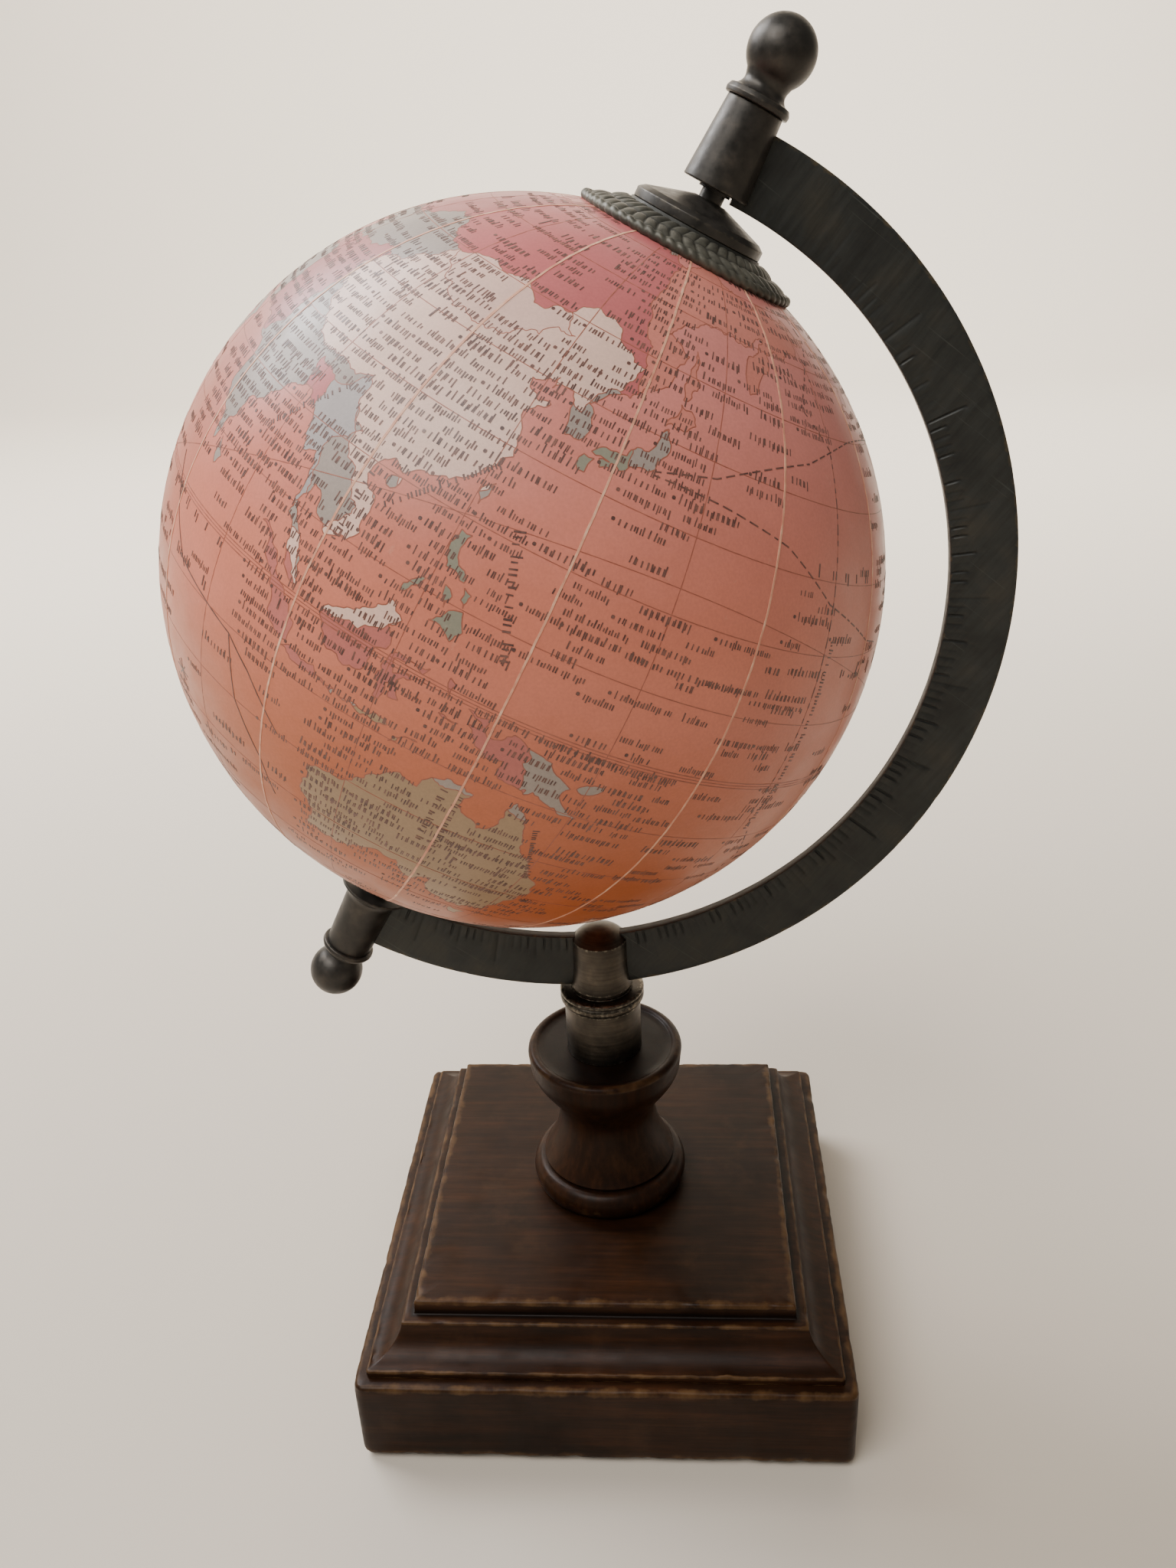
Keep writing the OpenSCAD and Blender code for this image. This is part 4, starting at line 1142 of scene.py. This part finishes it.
    "negros": [(122, 11.8), (123.4, 10.9), (123, 9.2), (122.2, 10.5)],
    "palawan": [(117.2, 8.4), (119.5, 11.3), (119.2, 10.5), (117.8, 8.6)],
    "taiwan": [(121.6, 25.2), (121.5, 24), (120.8, 22), (120.1, 23.3)],
    "hainan": [(108.7, 19.3), (110.5, 20), (110.3, 18.6), (109, 18.3)],
    "hokkaido": [(140, 41.5), (141.2, 43.2), (141.8, 45.4), (145.3, 43.4), (143.3, 42), (141, 42.3)],
    "honshu": [
        (140.9, 41.4), (142, 39.5), (140.9, 36.8), (140.8, 35.7), (139.8, 35), (137, 34.6), (135.8, 33.5),
        (132.5, 34.2), (131, 34.2), (132.7, 35.5), (136, 35.7), (137, 37.3), (139.3, 38), (140, 40.5)],
    "kyushu": [(130.2, 33.5), (131.8, 33.5), (131.3, 31.4), (130.3, 31.3), (129.7, 32.8)],
    "shikoku": [(132.4, 33.8), (134.5, 34.3), (134.2, 33.3), (132.9, 32.8)],
    "sakhalin": [(142.5, 54.3), (143.3, 52), (144.5, 49), (142.8, 46.3), (141.9, 46.1), (142, 50.5)],
    "sri_lanka": [(79.8, 9.6), (81.8, 7.5), (80.6, 6), (79.8, 7.2)],
    "novaya_zemlya": [(52, 71.5), (56, 70.7), (58, 73), (68.5, 76.8), (58, 75)],
    "svalbard": [(12, 79.5), (16, 77), (25, 80)],
    "antarctica": [
        (-166, -77), (-140, -74.5), (-110, -74.5), (-75, -72.5), (-60, -64), (-62, -74), (-40, -78),
        (-15, -72), (10, -70), (45, -68), (75, -69), (110, -66.5), (145, -67), (170, -72), (170, -78),
        (194, -77), (194, -84), (-166, -84)],
}
CASPIAN = [(49, 45.5), (53, 46.5), (53, 42), (54, 37.5), (50, 37.5), (48.5, 42)]

CREAM = (228, 193, 177)
PINK_CREAM = (221, 186, 172)
ROSE = (186, 104, 104)
MAUVE = (186, 112, 104)
GREY = (160, 148, 140)
BLUE_GREY = (168, 161, 160)
TAUPE = (163, 137, 108)
GREY_GREEN = (142, 140, 124)
SALMON = (205, 128, 114)

# Colour areas, laid over each other in this order and cut to the coast
AREAS = [
    (GREY, [(-180, -60), (180, -60), (180, 85), (-180, 85)]),
    (CREAM, [(-140, 49), (-95, 49), (-80, 43), (-66, 45), (-50, 50), (-60, 85), (-141, 75), (-141, 60)]),
    (ROSE, [(-117, 32), (-106, 31), (-97, 26), (-85, 22), (-92, 14), (-106, 18), (-118, 28)]),
    (ROSE, [(-180, 50), (-130, 54), (-141, 60), (-141, 72), (-180, 72)]),
    (ROSE, [(-60, 5), (-50, 5), (-33, -5), (-38, -25), (-53, -34), (-58, -28), (-58, -18), (-66, -10),
            (-73, -7)]),
    (CREAM, [(-82, 2), (-76, 0), (-69, -12), (-70, -18), (-80, -14)]),
    (CREAM, [(-72, -20), (-62, -22), (-55, -27), (-58, -40), (-65, -56), (-72, -50)]),
    (ROSE, [(-10, 37), (3, 37), (3, 22), (-5, 20), (-9, 28)]),
    (CREAM, [(9, 23), (25, 22), (25, 33), (10, 34)]),
    (CREAM, [(12, -18), (20, -17), (30, -15), (31, -8), (24, -11), (12, -5)]),
    (ROSE, [(22, 22), (36, 22), (42, 12), (34, 4), (24, 9)]),
    (MAUVE, [(17, -29), (22, -25), (31, -22), (33, -28), (25, -36), (16, -34)]),
    (CREAM, [(-6, 49), (3, 51), (8, 48), (7, 43), (-2, 42)]),
    (ROSE, [(8, 55), (14, 54), (14, 49), (7, 48)]),
    (CREAM, [(14, 51), (24, 54), (32, 52), (40, 49), (34, 45), (22, 46)]),
    (ROSE, [(34, 30), (46, 30), (56, 22), (52, 17), (42, 16), (36, 24)]),
    (ROSE, [(28, 71), (31, 62), (28, 57), (31, 52), (40, 49.5), (39, 47), (47, 42), (48, 46), (52, 51.5),
            (61, 50.8), (70, 55), (80, 51), (87, 49.2), (98, 50.3), (107, 49.8), (116, 50), (120, 53),
            (127, 49.8), (131, 47.8), (134.8, 48.3), (131, 43), (133, 41.5), (146, 44), (163, 48),
            (194, 60), (194, 74), (100, 82), (30, 74)]),
    (ROSE, [(53, 37), (56, 41.5), (66, 41.5), (70, 42), (80, 42.5), (74, 39), (75, 36), (73, 30), (70, 23),
            (61, 24), (61, 31), (60, 36)]),
    (GREY, [(47, 49), (52, 51.5), (61, 50.8), (70, 55), (80, 51), (87, 49.2), (82, 45), (80, 42.5), (70, 42),
            (66, 41.5), (60, 44), (56, 41.5), (52, 42), (50, 45)]),
    (CREAM, [(74, 39), (80, 42.5), (82, 45), (87, 49.2), (91, 45), (96, 42.5), (105, 41.7), (111, 44),
             (116, 47),
             (119.5, 47), (116, 50), (120, 53), (127, 49.8), (131, 47.8), (134.8, 48.3), (131, 43),
             (129, 42), (127, 38), (122, 38), (124, 30), (121, 24), (112, 18), (108, 21.5), (102, 22),
             (98.5, 24.5), (97.5, 28.3), (92, 27.8), (85, 28), (79, 32), (75, 36)]),
    (PINK_CREAM, [(87, 49.2), (98, 50.3), (107, 49.8), (116, 50), (119.5, 47), (116, 47), (111, 44),
                  (105, 41.7),
                  (96, 42.5), (91, 45)]),
    (ROSE, [(88, 26.5), (92.5, 25), (92.5, 21), (89, 21)]),
    (BLUE_GREY, [(92.5, 21), (92.5, 25), (97.5, 28.3), (98.5, 24.5), (101, 21.5), (98, 18),
                 (98.5, 10), (96, 15)]),
    (CREAM, [(101, 21.5), (102, 22), (108, 21.5), (108, 17), (110, 14), (110, 11), (104, 7), (105, 11),
             (107, 14), (104, 18), (101, 20)]),
    (CREAM, [(99, 7), (102, 7), (105, 1), (100, 1)]),
    (GREY_GREEN, [(116, 5.5), (119, 5.5), (128, 4), (128, 20), (118, 20), (116, 10)]),
    (MAUVE, [(94, 6.5), (98, 6.5), (104, 0.5), (109, 0.9), (114.5, 1.3), (118, 4.1), (126, 3), (141, 0),
             (141, -11), (94, -11)]),
    (CREAM, [(108, 1), (109, 0.9), (114.5, 1.3), (118, 4.1), (120, 5.5), (116.5, 8), (109, 3)]),
    (GREY, [(141, 0), (156, -2), (156, -12), (141, -9.5)]),
    (TAUPE, [(110, -10.4), (156, -10.4), (156, -45), (110, -45)]),
    (GREY_GREEN, [(128, 30), (133, 30), (137, 40), (134, 36), (129, 34.2)]),
    (CREAM, [(164, -33), (180, -33), (180, -48), (164, -48)]),
    (SALMON, [(135, 43), (194, 50), (194, 75), (135, 75)]),
]
# Sea tones with painted light and shade: pinker to the north, darker orange to the south, and the gradient leans
# with longitude so the globe's right side is darker and browner.
SEA_NORTH = (211, 134, 126)
SEA_MIDDLE = (207, 126, 104)
SEA_SOUTH = (178, 98, 58)
SEA_LEAN_LON = 105

# ---- Map: coast, regions and the paper skin ----

LON_AT_SIDE = 222.5
CUT_LON = -165
GORE_STEP = 30
GRID_STEP = 3
LAST_LAT = 84
COAST_STEP = 0.9
PAPER_T = 0.25
SEED = 20


def direction(lon, lat):
    """Unit vector, in the world, from the globe's centre to a place on the map."""
    a = math.radians(lon - LON_AT_SIDE)
    b = math.radians(lat)
    return (SIDE * math.cos(a) + REAR * math.sin(a)) * math.cos(b) + AXIS * math.sin(b)


def roughened(start, end):
    """Points from start to before end, bent like a coast, and the same for either way round."""
    if start > end:
        return bent(end, start)[:0:-1]
    return bent(start, end)[:-1]


def bent(start, end):
    rng = random.Random(round(start[0] * 131 + start[1] * 977 + end[0] * 463 + end[1] * 59))
    points = [start, end]
    while True:
        longest = max(math.dist(a, b) for a, b in zip(points, points[1:]))
        if longest < COAST_STEP:
            return points
        finer = [points[0]]
        for a, b in zip(points, points[1:]):
            sway = rng.uniform(-0.2, 0.2)
            finer.append(((a[0] + b[0]) / 2 - (b[1] - a[1]) * sway, (a[1] + b[1]) / 2 + (b[0] - a[0]) * sway))
            finer.append(b)
        points = finer


def coast(corners):
    points = []
    for start, end in zip(corners, corners[1:] + corners[:1]):
        points.extend(roughened(start, end))
    return points


def inside(polygon, lons, lats):
    """Which places lie inside a closed outline."""
    result = np.zeros(len(lons), bool)
    x1, y1 = polygon[-1]
    for x2, y2 in polygon:
        if y1 != y2:
            crosses = (lats < y1) != (lats < y2)
            result ^= crosses & (lons < (x2 - x1) * (lats - y1) / (y2 - y1) + x1)
        x1, y1 = x2, y2
    return result


def wrapped(points):
    """An outline, and its copies one turn to either side where they reach the map."""
    copies = []
    for shift in (-360, 0, 360):
        moved = [(lon + shift, lat) for lon, lat in points]
        if max(p[0] for p in moved) > CUT_LON and min(p[0] for p in moved) < CUT_LON + 360:
            copies.append(moved)
    return copies


def map_outlines():
    """All coasts, and all colour areas with their colours, as roughened outlines."""
    coasts = [copy for corners in LAND.values() for copy in wrapped(coast(corners))]
    areas = [(colour, copy) for colour, corners in AREAS for copy in wrapped(coast(corners))]
    return coasts, areas


def triangulated(outlines):
    """Places and triangles of a map net that has every outline among its edges."""
    places = []
    lines = []
    lons = [CUT_LON + GRID_STEP * i for i in range(360 // GRID_STEP + 1)]
    lats = [-LAST_LAT + GRID_STEP * j for j in range(2 * LAST_LAT // GRID_STEP + 1)]
    for i, lon in enumerate(lons):
        shift = GRID_STEP / 2 if i % 2 and 0 < i < len(lons) - 1 else 0
        for lat in lats:
            places.append((lon, lat if abs(lat) == LAST_LAT else lat + shift))
    rows = len(lats)
    for i in (0, len(lons) - 1):
        lines += [(i * rows + j, i * rows + j + 1) for j in range(rows - 1)]
    for outline in outlines:
        first = len(places)
        count = len(outline)
        places += outline
        lines += [(first + k, first + (k + 1) % count) for k in range(count)]
    net = delaunay_2d_cdt([Vector(p) for p in places], lines, [], 0, 1e-5)
    return [tuple(v) for v in net[0]], net[2]


def region_colours(places, triangles, coasts, areas):
    """The printed colour of each triangle, or None at sea, and the middles of the triangles."""
    corners = np.array(places)[np.array(triangles)]
    lons, lats = corners[:, :, 0].mean(1), corners[:, :, 1].mean(1)
    land = np.zeros(len(lons), bool)
    for outline in coasts:
        land |= inside(outline, lons, lats)
    land &= ~inside(coast(CASPIAN), lons, lats)
    index = np.zeros(len(lons), int)
    for number, (_, outline) in enumerate(areas):
        index[inside(outline, lons, lats)] = number
    colours = [areas[index[k]][0] if land[k] else None for k in range(len(lons))]
    return colours, lons, lats


def mixed(a, b, t):
    t = min(1.0, max(0.0, t))
    return tuple(x + (y - x) * t for x, y in zip(a, b))


def print_tone_and_painted_light(colour, lon, lat):
    """Linear colour of the print; on the sea, painted light and shade shift it from pole to pole and round the
    globe: pinker to the north, darker to the south and on the globe's right side.
    """
    if colour is None:
        # Painted light and shade: the gradient leans so the sea on the globe's right side is darker and browner.
        lean = math.sin(math.radians(lon - SEA_LEAN_LON))
        north = mixed(SEA_MIDDLE, SEA_NORTH, (lat - 5 - 15 * lean) / 35)
        colour = mixed(north, SEA_SOUTH, (-lat - 4 + 13 * lean) / 30)
    gore = random.Random(int((lon - 15) // GORE_STEP) % 12 + SEED)
    shade = gore.uniform(0.95, 1.03)
    return srgb(*(c * shade for c in colour))


def add_map_skin(places, triangles, colours, lons, lats):
    """The paper: outside with a colour for each triangle, inside plain, joined at both ends."""
    low, high = CUT_LON, CUT_LON + 360
    kept = [k for k in range(len(triangles)) if low < lons[k] < high and abs(lats[k]) < LAST_LAT]
    outward = [direction(*place) for place in places]
    mesh = bpy.data.meshes.new("map_skin")
    vertices = [(CENTRE + n * GLOBE_R) * MM for n in outward]
    vertices += [(CENTRE + n * (GLOBE_R - PAPER_T)) * MM for n in outward]
    count = len(places)
    faces = []
    rims = {}
    for k in kept:
        a, b, c = triangles[k]
        faces.append((a, b, c))
        for edge in ((a, b), (b, c), (c, a)):
            rims[edge] = edge
    faces += [(c + count, b + count, a + count) for a, b, c in faces]
    for a, b in list(rims):
        at_last = all(abs(abs(places[end][1]) - LAST_LAT) < 0.01 for end in (a, b))
        if (b, a) not in rims and at_last:
            faces.append((b, a, a + count, b + count))
    mesh.from_pydata(vertices, [], faces)
    tone = mesh.attributes.new("tone", "FLOAT_COLOR", "CORNER")
    values = np.ones((len(mesh.loops), 4), np.float32)
    values[:] = srgb(*SEA_MIDDLE)
    for row, k in enumerate(kept):
        values[3 * row:3 * row + 3] = print_tone_and_painted_light(colours[k], lons[k], lats[k])
    tone.data.foreach_set("color", values.ravel())
    mesh.polygons.foreach_set("use_smooth", [True] * len(mesh.polygons))
    return mesh


def add_map():
    coasts, areas = map_outlines()
    places, triangles = triangulated(coasts + [outline for _, outline in areas])
    colours, lons, lats = region_colours(places, triangles, coasts, areas)
    mesh = add_map_skin(places, triangles, colours, lons, lats)
    weld(mesh)
    normals = [(v.co / MM - CENTRE).normalized() for v in mesh.vertices]
    inner = [(v.co / MM - CENTRE).length < GLOBE_R - PAPER_T / 2 for v in mesh.vertices]
    mesh.normals_split_custom_set_from_vertices([-n if i else n for n, i in zip(normals, inner)])
    mesh.materials.append(PAPER)
    skin = bpy.data.objects.new("map_skin", mesh)
    bpy.context.scene.collection.objects.link(skin)
    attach(skin, "globe")
    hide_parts("map_gores")
    return places, triangles, colours


map_net = add_map()

# ---- Map: printed lines and writing ----

INK_SINK = 0.06
ROW_STEP = 1.78
MARK_PITCH = 0.9
MARK_WIDTH = 0.19
PIECES_MEET_LAT = 14
STAR_PLACES = ((82, -26), (-140, -24), (-30, -6))
STAR_RAYS = ((2.2, 0), (0, 2.2), (1.3, 1.3), (1.3, -1.3))
EAST, SOUTH = (1, 0), (0, -1)


class Ink:
    """Collects thin closed strips on the globe's surface for one piece."""

    def __init__(self, name, material, height):
        self.name = name
        self.material = material
        self.height = height
        self.vertices = []
        self.faces = []

    def strip(self, points, width):
        """A strip through unit directions."""
        first = len(self.vertices)
        top = GLOBE_R + self.height
        bottom = GLOBE_R - INK_SINK
        last = len(points) - 1
        for k, n in enumerate(points):
            along = points[min(k + 1, last)] - points[max(k - 1, 0)]
            side = n.cross(along).normalized() * (width / 2)
            self.vertices += [CENTRE + n * bottom - side, CENTRE + n * top - side,
                              CENTRE + n * top + side, CENTRE + n * bottom + side]
        for k in range(last):
            a = first + 4 * k
            b = a + 4
            for i in range(4):
                i2 = (i + 1) % 4
                self.faces.append((a + i, a + i2, b + i2, b + i))
        self.faces.append((first + 3, first + 2, first + 1, first))
        self.faces.append(tuple(first + 4 * last + i for i in range(4)))

    def line(self, places, width):
        self.strip([direction(*place) for place in places], width)

    def route(self, corners, width, dash=0, gap=0):
        """A line through (longitude, latitude) corners, solid or dashed, with dash and gap in mm."""
        points = [direction(*corners[0])]
        for start, end in zip(corners, corners[1:]):
            a, b = direction(*start), direction(*end)
            steps = max(2, round(GLOBE_R * a.angle(b) / 0.8))
            points += [a.lerp(b, k / steps).normalized() for k in range(1, steps + 1)]
        if not dash:
            self.strip(points, width)
            return
        travelled = 0
        piece = [points[0]]
        for a, b in zip(points, points[1:]):
            travelled = (travelled + (b - a).length * GLOBE_R) % (dash + gap)
            if travelled < dash:
                piece.append(b)
            else:
                if len(piece) > 1:
                    self.strip(piece, width)
                piece = [b]
        if len(piece) > 1:
            self.strip(piece, width)

    def dot(self, lon, lat, radius):
        """A small round mark: two crossed short strips."""
        east = math.degrees(radius / GLOBE_R / math.cos(math.radians(lat)))
        north = math.degrees(radius / GLOBE_R)
        self.line([(lon - east, lat), (lon, lat), (lon + east, lat)], 1.3 * radius)
        self.line([(lon, lat - north), (lon, lat), (lon, lat + north)], 1.3 * radius)

    def finish(self):
        mesh = bpy.data.meshes.new(self.name)
        mesh.from_pydata([v * MM for v in self.vertices], [], self.faces)
        mesh.materials.append(self.material)
        piece = bpy.data.objects.new(self.name, mesh)
        bpy.context.scene.collection.objects.link(piece)
        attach(piece, "globe")


def add_seams():
    """The gores' overlapping edges: a pale raised line on every second meridian."""
    ink = Ink("gore_seams", SEAM, 0.05)
    rng = random.Random(3)
    for k in range(12):
        lon = 15 + GORE_STEP * k
        places = []
        for step in range(113):
            lat = -LAST_LAT + 1.5 * step
            places.append((lon + rng.uniform(-0.04, 0.04) / math.cos(math.radians(lat)), lat))
        ink.line(places, 0.34)
    ink.finish()


def add_lines(places, triangles, colours):
    """Net of meridians and parallels, the equator's double line, coasts and borders."""
    ink = Ink("map_lines", LINE_INK, 0.012)
    for lat in range(-70, 80, 10):
        ink.line([(lon, lat) for lon in range(-180, 181, 2)], 0.13)
    for lat in (-0.45, 0.45):
        ink.line([(lon, lat) for lon in range(-180, 181, 2)], 0.16)
    for lon in range(0, 360, 15):
        ink.line([(lon, lat) for lat in range(-72, 73, 2)], 0.13)
    ink.line([(lon, 23.4 * math.sin(math.radians(lon - 60))) for lon in range(-180, 181, 2)], 0.12)
    sides = {}
    for (a, b, c), colour in zip(triangles, colours):
        for edge in ((a, b), (b, c), (c, a)):
            sides.setdefault((min(edge), max(edge)), []).append(colour)
    for (a, b), pair in sides.items():
        middle = (places[a][0] + places[b][0]) / 2
        if len(pair) == 2 and pair[0] != pair[1] and CUT_LON < middle < CUT_LON + 360:
            if abs(places[a][1]) < 76 and math.dist(places[a], places[b]) > 0.05:
                ink.line([places[a], places[b]], 0.17 if None in pair else 0.14)
    ink.finish()


ROUTES = [
    (0.22, 1.5, 0.8, [(141, 35.5), (151, 38), (172, 45), (190, 50), (215, 50), (235, 48)]),
    (0.22, 1.5, 0.8, [(141, 35), (153, 35), (167, 33), (179, 27), (195, 22), (202, 21)]),
    (0.2, 0, 0, [(80, -8), (88, -9.5), (96, -11), (99, -20), (105, -27), (108, -33)]),
    (0.2, 0, 0, [(96, -11), (101, -14), (108, -20)]),
    (0.2, 0, 0, [(70, 3), (76, -4), (82, -9)]),
    (0.2, 1.5, 0.8, [(-74, 40), (-50, 46), (-25, 50), (-6, 50)]),
    (0.2, 1.5, 0.8, [(-79, 8), (-60, 22), (-30, 38), (-10, 44)]),
    (0.24, 0.6, 0.7, [(180, -65), (180, -50), (188, -45), (188, -15), (180, -5), (180, 48), (172, 53),
                      (190, 66), (190, 72)]),
]

# Share of each row's length that is covered with writing: (share, west, east, south, north)
WRITING = [
    (0.10, -180, 360, -60, 72),
    (0.45, 62, 190, 48, 72),
    (0.70, 74, 99, 26, 48),
    (0.92, 98, 124, 20, 44),
    (0.85, 66, 90, 6, 36),
    (0.80, 44, 76, 24, 50),
    (0.85, 92, 111, 4, 22),
    (0.80, 95, 136, -10, 7),
    (0.72, 116, 128, 5, 20),
    (0.78, 124, 148, 30, 47),
    (0.50, 110, 128, -22, -10),
    (0.62, 112, 155, -40, -16),
    (0.70, 136, 162, -13, -1),
    (0.30, 132, 180, 0, 20),
    (0.25, 160, 182, -22, 0),
    (0.85, -12, 45, 35, 60),
    (0.55, -18, 50, -35, 35),
    (0.60, -125, -65, 14, 55),
    (0.35, -165, -60, 50, 72),
    (0.55, -80, -38, -52, 12),
]

# Wide-set titles: (longitude, latitude, marks, height in mm, pitch in mm, heading)
TITLES = [
    (80, 38.6, 6, 2.0, 7.3, EAST), (78, 45.5, 4, 1.4, 6.0, EAST), (60, 61, 6, 2.2, 15, EAST),
    (75, 23.5, 5, 1.9, 3.4, EAST), (106, 18.5, 7, 1.4, 1.6, SOUTH), (110.5, 16, 15, 1.2, 1.15, (0.55, 0.6)),
    (102.7, 4.6, 8, 1.5, 1.5, EAST), (106.7, 0.6, 6, 1.4, 1.9, EAST), (103, -2.9, 9, 1.7, 4.0, EAST),
    (118, -3.4, 8, 1.1, 1.1, EAST), (126.5, 21.2, 11, 1.7, 1.65, (0.35, -1)),
    (147, 12.9, 16, 1.35, 1.2, EAST), (167, 12, 13, 1.0, 1.0, EAST), (141, -1.3, 12, 1.2, 1.1, EAST),
    (152, -1.6, 10, 1.0, 0.95, EAST), (114, -26.2, 9, 2.1, 4.0, EAST), (114, -22.5, 7, 1.3, 1.6, EAST),
    (115, -28.8, 9, 1.3, 1.7, EAST), (136, -22.8, 10, 1.3, 1.2, EAST), (139.5, -31, 14, 1.3, 1.1, EAST),
    (132.5, -13.5, 8, 1.2, 1.6, SOUTH), (135, -13.5, 9, 1.2, 1.5, SOUTH),
    (146.5, -14.5, 14, 1.1, 0.9, (0.35, -1)),
    (175, 30.3, 5, 2.0, 3.9, EAST), (187, 17, 5, 2.2, 6.5, EAST), (70, -1.8, 6, 1.9, 4.2, EAST),
    (69, -8.5, 5, 1.7, 5.2, EAST), (181.2, 22, 30, 1.15, 1.15, SOUTH), (88, 15.5, 12, 1.0, 1.2, (0.75, 1)),
    (-20, 15, 8, 2.1, 6, SOUTH), (-62, 30, 8, 2.0, 6, EAST), (-102, 40, 9, 2.0, 4.5, EAST),
    (-62, -8, 6, 2.0, 4.5, EAST), (15, 5, 6, 2.2, 6.5, EAST), (-120, -12, 7, 2.2, 9, EAST),
    (20, 50, 6, 1.6, 3.4, EAST), (60, -32, 6, 2.0, 7, EAST), (-28, -30, 8, 2.1, 6, EAST),
]


def on_map(lon, lat, right, up):
    """The place right and up, in mm, of a place on the map."""
    new_lat = lat + math.degrees(up / GLOBE_R)
    return (lon + math.degrees(right / GLOBE_R / math.cos(math.radians(lat))), new_lat)


def mark(ink, rng, lon, lat, height, heading, bold):
    """One or two leaning strokes of uneven height, which take a letter's place and are none."""
    wide = 0.5 * height
    lean = rng.uniform(-0.1, 0.2)
    strokes = [(0, 0, rng.choice((0.6, 0.68, 0.72, 1.0)))]
    if rng.random() < 0.7:
        strokes.append((0.85, rng.choice((0, 0, 0.1, -0.25)), rng.choice((0.5, 0.66, 0.7, 0.7))))
    ex, ey = heading
    for u, low, high in strokes:
        ends = []
        for v in (low, high):
            across = (u + lean * v) * wide
            ends.append(on_map(lon, lat, across * ex - v * height * ey, across * ey + v * height * ex))
        ink.line(ends, bold * rng.uniform(0.8, 1.3))


def write_row(ink, rng, lon, lat, marks, height, pitch, heading, bold):
    """A row of marks from a place on the map, heading along the map."""
    scale = math.hypot(*heading)
    heading = (heading[0] / scale, heading[1] / scale)
    for k in range(marks):
        spot = on_map(lon, lat, pitch * k * heading[0], pitch * k * heading[1])
        mark(ink, rng, *spot, height, heading, bold)


def share_at(lon, lat):
    share = 0
    for amount, west, east, south, north in WRITING:
        if south <= lat <= north and (west <= lon <= east or west <= lon - 360 <= east):
            share = amount
    return share


def add_writing():
    """Rows of small illegible marks in place of names, with dots for towns."""
    south = Ink("map_writing_south", INK, 0.02)
    north = Ink("map_writing_north", INK, 0.02)
    rng = random.Random(SEED)
    lat = -58
    while lat < 72:
        ink = south if lat < PIECES_MEET_LAT else north
        lon = rng.uniform(0, 4) - 165
        per_mm = math.degrees(1 / GLOBE_R) / math.cos(math.radians(lat))
        while lon < 194:
            if rng.random() > share_at(lon, lat):
                lon += rng.uniform(2, 4) * per_mm
                continue
            marks = rng.choice((4, 5, 5, 6, 6, 7, 8, 9, 11))
            height = rng.choice((1.2, 1.35, 1.5))
            up = lat + rng.uniform(-0.25, 0.25)
            write_row(ink, rng, lon, up, marks, height, MARK_PITCH, EAST, MARK_WIDTH)
            if rng.random() < 0.3:
                ink.dot(lon - 1.0 * per_mm, up + 0.5, 0.26)
            lon += (MARK_PITCH * marks + rng.uniform(0.6, 2.2)) * per_mm
        lat += ROW_STEP
    south.finish()
    north.finish()
    titles = Ink("map_titles", INK, 0.03)
    for lon, lat, marks, height, pitch, heading in TITLES:
        write_row(titles, rng, lon, lat, marks, height, pitch, heading, 0.15 + 0.06 * height)
    for width, dash, gap, corners in ROUTES:
        titles.route(corners, width, dash, gap)
    for lon, lat in STAR_PLACES:
        for dx, dy in STAR_RAYS:
            titles.line([on_map(lon, lat, -dx, -dy), on_map(lon, lat, dx, dy)], 0.28)
    titles.finish()


add_seams()
add_lines(*map_net)
add_writing()

# ---- Stage ----


def add_stage():
    """A pale floor that curves up into a backdrop behind the object."""
    reach = 3.0
    bend_r = 0.6
    start_y = 1.4
    profile = [(-reach, 0.0)]
    for k in range(17):
        a = math.pi / 2 * k / 16
        profile.append((start_y + bend_r * math.sin(a), bend_r * (1 - math.cos(a))))
    profile.append((start_y + bend_r, reach))
    vertices = []
    for y, z in profile:
        vertices.append((-reach, y, z))
        vertices.append((reach, y, z))
    faces = [(2 * k, 2 * k + 1, 2 * k + 3, 2 * k + 2) for k in range(len(profile) - 1)]
    mesh = bpy.data.meshes.new("floor")
    mesh.from_pydata(vertices, [], faces)
    mesh.polygons.foreach_set("use_smooth", [True] * len(mesh.polygons))
    shader = Shader("floor", srgb(198, 188, 174), Roughness=0.8)
    mesh.materials.append(shader.material)
    floor = bpy.data.objects.new("floor", mesh)
    bpy.context.scene.collection.objects.link(floor)


def add_world():
    world = bpy.data.worlds.new("world")
    world.use_nodes = True
    background = world.node_tree.nodes["Background"]
    background.inputs["Color"].default_value = srgb(228, 226, 220)
    background.inputs["Strength"].default_value = 0.24
    bpy.context.scene.world = world


def add_light(name, place, target, size, power, colour=(1, 1, 1)):
    """A soft rectangular light, with place and target in metres."""
    data = bpy.data.lights.new(name, "AREA")
    data.shape = "RECTANGLE"
    data.size, data.size_y = size
    data.energy = power
    data.color = colour
    light = bpy.data.objects.new(name, data)
    bpy.context.scene.collection.objects.link(light)
    light.location = place
    light.rotation_euler = (Vector(target) - Vector(place)).to_track_quat("-Z", "Y").to_euler()


add_stage()
add_world()
add_light("window", (-0.66, 0.42, 0.95), (0, 0, 0.16), (0.6, 0.6), 17, (0.98, 0.98, 1.0))
add_light("room", (-0.55, -0.7, 1.5), (0, 0, 0.2), (1.0, 1.0), 27, (1.0, 0.97, 0.94))
add_light("backdrop", (0.0, 0.7, 1.3), (0, 1.9, 0.6), (2.4, 0.8), 115, (1.0, 0.98, 0.94))
